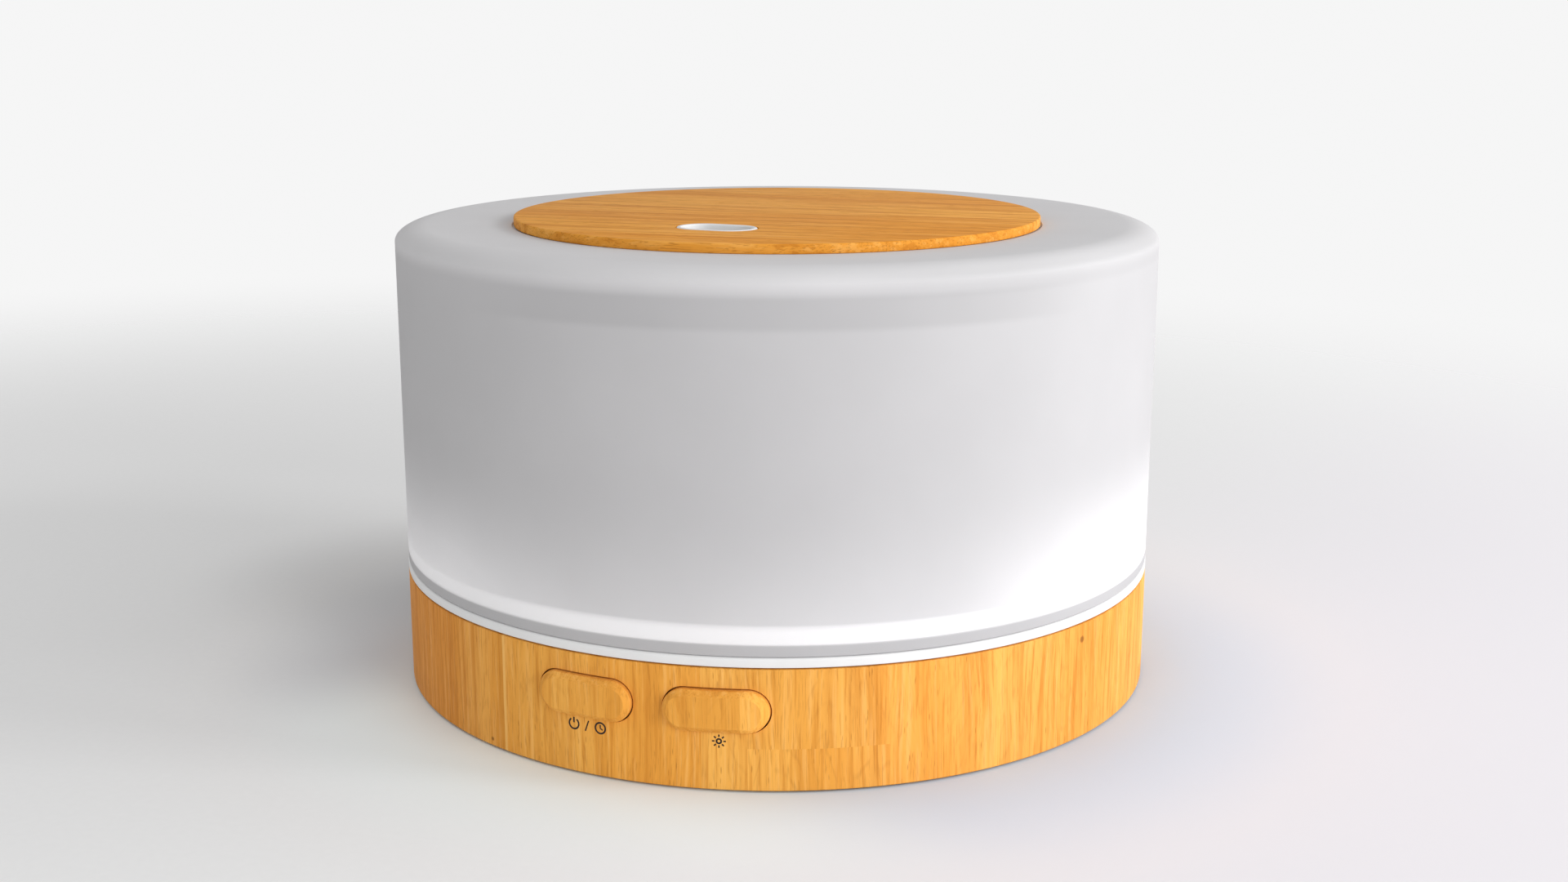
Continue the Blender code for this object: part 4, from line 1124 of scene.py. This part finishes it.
def make_main_board():
    middle = (BOARD_LOW + BOARD_HIGH) / 2
    half = (BOARD_HIGH - BOARD_LOW) / 2
    board = place("driver_board", slab(half, 2.0, BOARD_LOW.z, BOARD_HIGH.z, middle))
    cut(board, *[cylinder(1.5, 0, 30, at) for at in BOARD_POSTS])
    settle(board, "circuit_board", ["main_board"])
    make_screws("board_fixing", "board_screw", BOARD_SCREWS, PARTS_Z, (2.3, 1.3, 1.2, 6.4),
                up=False)


def make_drive_coil():
    """A bobbin with one layer of wire."""
    at = (-36.0, -10.0, 0)
    core = rounded([(0, 21.0), (6.0, 21.0, 0.4), (6.0, 19.6, 0.4), (2.6, 19.6), (2.6, 12.3),
                    (6.0, 12.3, 0.4), (6.0, PARTS_Z, 0.3), (0, PARTS_Z)])
    place("coil_core", turned(core, at, 96), "black_plastic", ["drive_coil"])
    turns, low, high = 16, 12.4, 19.5
    pitch = (high - low) / turns
    outside = []
    for turn in range(turns):
        middle = high - (turn + 0.5) * pitch
        outside += arc((5.2 - pitch / 2, middle), (pitch / 2, pitch / 2), 80, -80, 4)
    place("coil_winding", turned(outside + [(2.9, low), (2.9, high)], at, 96, closed=True),
          "copper", ["drive_coil"])


def make_capacitors():
    """Two cans in sleeves, with a cross scored in their tops."""
    places = ((-35.0, 10.0, 5.0, 12.0), (-47.0, 14.0, 4.0, 11.0))
    for number, (x, y, radius, height) in enumerate(places, 1):
        top = PARTS_Z + height
        sleeve = rounded([(radius - 1.2, top - 0.15), (radius - 1.2, top, 0.1), (radius, top, 0.6),
                          (radius, PARTS_Z + 1.7, 0.3), (radius - 0.4, PARTS_Z + 1.2, 0.4),
                          (radius, PARTS_Z + 0.7, 0.3), (radius, PARTS_Z, 0.2),
                          (radius - 1.2, PARTS_Z)])
        place(f"capacitor_sleeve_{number}", turned(sleeve, (x, y, 0), 96, closed=True),
              "black_plastic", [f"capacitor_{number}"])
        can = place(f"capacitor_can_{number}", turned(
            [(0, top - 0.2), (radius - 1.25, top - 0.2), (radius - 1.25, PARTS_Z + 0.1),
             (0, PARTS_Z + 0.1)], (x, y, 0), 96))
        vents = []
        for turn in (0, 90):
            vent = slab((radius * 0.55, 0.18), 0.1, top - 0.45, top + 0.5, edge=0.02)
            vents.append(helper(moved(vent, (x, y, 0), turn + 30)))
        cut(can, *vents)
        settle(can, "aluminium", [f"capacitor_{number}"])


def make_heatsink():
    """An extruded sink with four channels between its fins."""
    left, right, front, back, floor_y = -63.0, -45.0, -16.0, -8.0, -10.4
    outline = [(left, back), (left, front)]
    for channel in range(4):
        start = -60.9 + channel * 4.0
        outline += [(start, front), (start + 0.2, floor_y), (start + 1.8, floor_y),
                    (start + 2.0, front)]
    outline += [(right, front), (right, back)]
    sink = place("cooling_fins", skin([[(x, y, z) for x, y in outline] for z in (PARTS_Z, 26.0)]))
    softened = sink.modifiers.new("edges", "BEVEL")
    softened.width = 0.15 * MM
    softened.segments = 2
    combine(sink, (), "UNION")  # with nothing to join, this applies the bevel
    settle(sink, "aluminium", ["heatsink"])


def make_transistor():
    case = slab((5.0, 2.15), 0.3, PARTS_Z + 2.0, 20.0, (-54.0, -5.55), 0.25)
    place("transistor_case", case, "black_plastic", ["drive_transistor"])
    metal = helper(slab_y((5.0, 3.5), 0.6, -7.7, -6.4, (-54.0, 21.6)))
    cut(metal, cylinder_y(1.6, -12.0, 0.0, (-54.0, 22.6)))
    for leg in (-56.5, -54.0, -51.5):
        join(metal, helper(slab((0.4, 0.3), 0.1, PARTS_Z, 13.5, (leg, -5.7), 0.05)))
    metal.name = "transistor_metal"
    settle(metal, "steel", ["drive_transistor"])


def make_control_chip():
    chip = place("chip_case", slab((4.0, 2.5), 0.3, PARTS_Z, PARTS_Z + 1.6, (-58.0, 8.5), 0.3))
    cut(chip, cylinder(0.4, PARTS_Z + 1.45, PARTS_Z + 3, (-61.0, 7.2), 32))
    settle(chip, "black_plastic", ["control_chip"])
    legs = []
    for side in (-1, 1):
        for number in range(6):
            x = -58.0 + (number - 2.5) * 1.27
            path = [(2.3, 0.75), (2.9, 0.75), (3.1, 0.1), (3.7, 0.1)]
            under = [(out, up - 0.18) for out, up in reversed(path)]
            rows = [[(x + across, 8.5 + side * out, PARTS_Z + 0.1 + up) for out, up in path + under]
                    for across in (-0.2, 0.2)]
            legs.append(helper(skin(rows)))
    pins = legs[0]
    join(pins, *legs[1:])
    pins.name = "chip_pins"
    settle(pins, "steel", ["control_chip"])


def make_button_board():
    place("switch_board", slab_y((25.0, 7.5), 1.0, -71.7, -70.1, (0, 16.5)), "circuit_board",
          ["button_board"])
    for name, x in (("power", -BUTTON_X), ("light", BUTTON_X)):
        for part, start, end, edge, finish in (("body", -75.1, -72.0, 0.15, "black_plastic"),
                                               ("lid", -75.5, -75.12, 0.08, "steel")):
            piece = place(f"{name}_switch_{part}",
                          slab_y((3.0, 3.0), 0.4, start, end, (x, BUTTON_Z), edge))
            cut(piece, cylinder_y(2.0, -80.0, -73.0, (x, BUTTON_Z)))
            settle(piece, finish, [f"{name}_switch"])
        stem = rounded([(0, 76.7), (1.7, 76.7, 0.3), (1.7, 74.4, 0.3), (0, 74.4)])
        place(f"{name}_switch_stem", moved(turned(stem, steps=64), (x, 0, BUTTON_Z), 90, "X"),
              "grey_plastic", [f"{name}_plunger"])


def make_jack():
    socket = place("power_socket", slab_y((4.5, 5.2), 0.5, 69.0, 80.8, (0, JACK_Z), 0.3))
    join(socket, cylinder_y(4.0, 79.0, 83.7, (0, JACK_Z), 96))
    cut(socket, cylinder_y(2.9, 73.5, 90.0, (0, JACK_Z), 96), cylinder_y(1.35, 70.2, 75.0,
                                                                         (0, JACK_Z)))
    settle(socket, "black_plastic", ["dc_jack"])
    profile = rounded([(0, 82.2), (1.05, 82.2, 0.5), (1.05, 70.5, 0.2), (0, 70.5)])
    place("socket_pin", moved(turned(profile, steps=64), (0, 0, JACK_Z), -90, "X"), "brass",
          ["dc_jack_pin"])


def wire(name, node, route, diameter, finish):
    """A round wire along a smooth curve through the frame's own route points."""
    samples, sides = 8, 16  # steps between two route points, and round the wire
    points = [Vector(point) for point in route]
    ends = [points[0] * 2 - points[1]] + points + [points[-1] * 2 - points[-2]]
    smooth = []
    for i in range(len(points) - 1):
        p0, p1, p2, p3 = ends[i:i + 4]
        for step in range(samples):
            t = step / samples
            smooth.append(0.5 * (2 * p1 + (p2 - p0) * t + (2 * p0 - 5 * p1 + 4 * p2 - p3) * t * t
                                 + (3 * p1 - p0 - 3 * p2 + p3) * t ** 3))
    smooth.append(points[-1])
    rows = []
    side_way = (smooth[1] - smooth[0]).orthogonal().normalized()
    for index, here in enumerate(smooth):
        run = (smooth[min(index + 1, len(smooth) - 1)] - smooth[max(index - 1, 0)]).normalized()
        side_way = (side_way - run * side_way.dot(run)).normalized()
        up_way = run.cross(side_way)
        rows.append([here + (side_way * math.cos(math.tau * k / sides)
                             + up_way * math.sin(math.tau * k / sides)) * diameter / 2
                     for k in range(sides)])
    place(name, skin(rows), finish, [node])


def make_wires():
    top = PARTS_Z
    wire("atomizer_lead", "atomizer_wire", [
        (2.0, -1.0, 30.3), (1.8, -1.1, 26.0), (-4.0, -2.8, 21.0), (-14.0, -3.5, 18.6),
        (-24.0, -3.0, 18.0), (-29.0, -2.0, 14.6), (-29.0, -2.0, top)], 1.5, "red_wire")
    wire("fan_lead", "fan_wire", [
        (25.4, 12.0, 8.0), (18.0, 12.5, 6.4), (4.0, 14.0, 5.4), (-12.0, 15.0, 6.4),
        (-19.5, 15.5, 10.0), (-24.5, 16.0, 14.0), (-28.8, 16.0, 13.8), (-28.8, 16.0, top)],
        1.5, "black_wire")
    wire("lamp_lead", "led_wire", [
        (-25.0, 2.0, 26.7), (-25.2, 2.2, 22.0), (-29.0, 3.6, 17.0), (-29.0, 3.6, top)],
        1.5, "red_wire")
    wire("button_lead", "button_wire", [
        (-18.0, -69.6, 14.0), (-19.0, -65.5, 13.8), (-27.0, -55.0, 11.5), (-34.0, -42.0, 11.0),
        (-38.0, -31.0, 13.6), (-40.0, -23.5, 15.6), (-40.0, -22.0, top)], 1.5, "black_wire")
    wire("socket_lead", "power_wire", [
        (0, 68.5, 12.5), (-2.5, 63.5, 12.3), (-11.0, 55.0, 11.5), (-23.0, 43.0, 11.2),
        (-33.0, 32.0, 14.0), (-39.8, 23.6, 16.0), (-40.0, 22.0, top)], 1.8, "red_wire")


# ---------------------------------------------------------------- studio


def make_camera():
    """Above the object and to the right of its front, looking a little down at it."""
    distance, height, pitch, shift = 421.0, 147.1, 12.98, 0.004427
    camera = bpy.data.objects.new("camera", bpy.data.cameras.new("camera"))
    bpy.context.scene.collection.objects.link(camera)
    at = polar(distance, FRONT)
    camera.location = Vector((at.x, at.y, height)) * MM
    camera.rotation_euler = (math.radians(90 - pitch), 0, math.radians(FRONT))
    camera.data.lens = 43.24
    camera.data.sensor_width = 36.0
    camera.data.shift_x = shift
    camera.data.clip_start = 0.01
    bpy.context.scene.camera = camera


def softbox(name, azimuth, elevation, distance, size, power):
    """A square area light that faces the object, at an azimuth from where the camera stands."""
    data = bpy.data.lights.new(name, "AREA")
    data.shape = "RECTANGLE"
    data.size, data.size_y = size
    data.energy = power
    lamp = bpy.data.objects.new(name, data)
    bpy.context.scene.collection.objects.link(lamp)
    flat = polar(1.0, FRONT + azimuth)
    rise = math.radians(elevation)
    back = Vector((flat.x * math.cos(rise), flat.y * math.cos(rise), math.sin(rise)))
    lamp.location = back * distance + Vector((0, 0, 0.05))
    lamp.rotation_euler = back.to_track_quat("Z", "Y").to_euler()


def make_floor():
    """A pale floor that fades out into the pale surroundings away from the object."""
    look = Look("studio_floor")

    def side(azimuth, start, end):
        return look.ease(look.towards(azimuth, CASING_R), start, end)

    pale = look.mix(look.noise(look.place, 0.6), (0.86, 0.86, 0.86), (0.89, 0.89, 0.89))
    pale = look.mix(side(FRONT + 60, -0.2, 1.6), pale, (0.86, 0.835, 0.87))
    # Painted tones close in: cooler, darker ones are painted shade that cancels the glow the wood
    # throws on the floor, strongest on the key light's side; a paler one is painted light at the
    # front left, and a darker one is painted shade behind on the left.
    painted_near_tone = look.mix(side(FRONT + 15, -0.9, 0.5), (0.78, 0.80, 0.83), (0.59, 0.72, 0.88))
    painted_near_tone = look.mix(side(FRONT - 45, 0.45, 1.05), painted_near_tone, (0.88, 0.98, 1.0))
    painted_near_tone = look.mix(side(FRONT - 140, 0.25, 0.75), painted_near_tone, (0.62, 0.67, 0.72))
    ground = look.mix(look.ease(look.distance((0, 0, 0)), 134.0, 81.0), pale, painted_near_tone)
    # Painted shadow: the floor is darkened beside the base on the side away from the key light,
    # where the shadow is deepest.
    beside = look.distance((*polar(116.0, FRONT - 121), 0))
    ground = look.mix(look.ease(beside, 62.0, 8.0, 0.0, 0.24), ground, (0.12, 0.12, 0.12))
    look.set(Base_Color=ground, Roughness=0.6, Specular_IOR_Level=0.3)
    # The floor fades out round a point on the shadow's side, so it reaches further there.
    faded = look.ease(look.distance((*polar(100.0, FRONT - 90), 0)), 230.0, 660.0)
    clear = look.add("BsdfTransparent")
    fade = look.add("MixShader", {0: faded, 1: look.shader.outputs[0], 2: clear.outputs[0]})
    look.put(look.nodes["Material Output"].inputs["Surface"], fade.outputs[0])
    size = 3.0
    sheet = bpy.data.meshes.new("studio_floor")
    sheet.from_pydata([(-size, -size, 0), (size, -size, 0), (size, size, 0), (-size, size, 0)],
                      [], [(0, 1, 2, 3)])
    floor = place("studio_floor", sheet)
    floor.data.materials.append(look.material)


def make_surroundings():
    """A pale room that is seen bright but lights the object softly."""
    seen, fill = 0.92, 0.54
    world = bpy.data.worlds.new("studio")
    bpy.context.scene.world = world
    world.use_nodes = True
    nodes, links = world.node_tree.nodes, world.node_tree.links
    path = nodes.new("ShaderNodeLightPath")
    strength = nodes.new("ShaderNodeMath")
    strength.operation = "MULTIPLY_ADD"
    strength.inputs[1].default_value = seen - fill
    strength.inputs[2].default_value = fill
    links.new(path.outputs["Is Camera Ray"], strength.inputs[0])
    background = nodes["Background"]
    background.inputs["Color"].default_value = (1, 1, 1, 1)
    links.new(strength.outputs[0], background.inputs["Strength"])


def make_studio():
    make_floor()
    make_surroundings()
    softbox("key", 44, 15, 1.4, (0.9, 0.9), 9.8)
    softbox("key_high", 76, 24, 1.6, (0.35, 0.35), 5.6)
    softbox("rim_right", 100, 12, 1.4, (1.1, 0.9), 8.7)
    softbox("back_left", -120, 62, 1.4, (0.9, 0.9), 1.0)
    softbox("fill_left", -25, 15, 1.4, (0.9, 0.9), 1.9)
    bpy.context.scene.view_settings.view_transform = "Standard"


make_camera()
make_cover()
make_top_plate()
make_mist_guides()
make_tank()
make_hood()
make_base_ring()
make_button("power", -BUTTON_X)
make_button("light", BUTTON_X)
make_floor_plate()
make_feet()
make_screws("case_screw", "bottom_screw", CASE_SCREWS, 2.0, (3.2, 1.4, 1.6, 11.0))
make_marks()
make_atomizer()
make_lamps()
make_fan_frame()
make_fan_rotor()
make_duct()
make_main_board()
make_drive_coil()
make_capacitors()
make_heatsink()
make_transistor()
make_control_chip()
make_button_board()
make_jack()
make_wires()
make_studio()
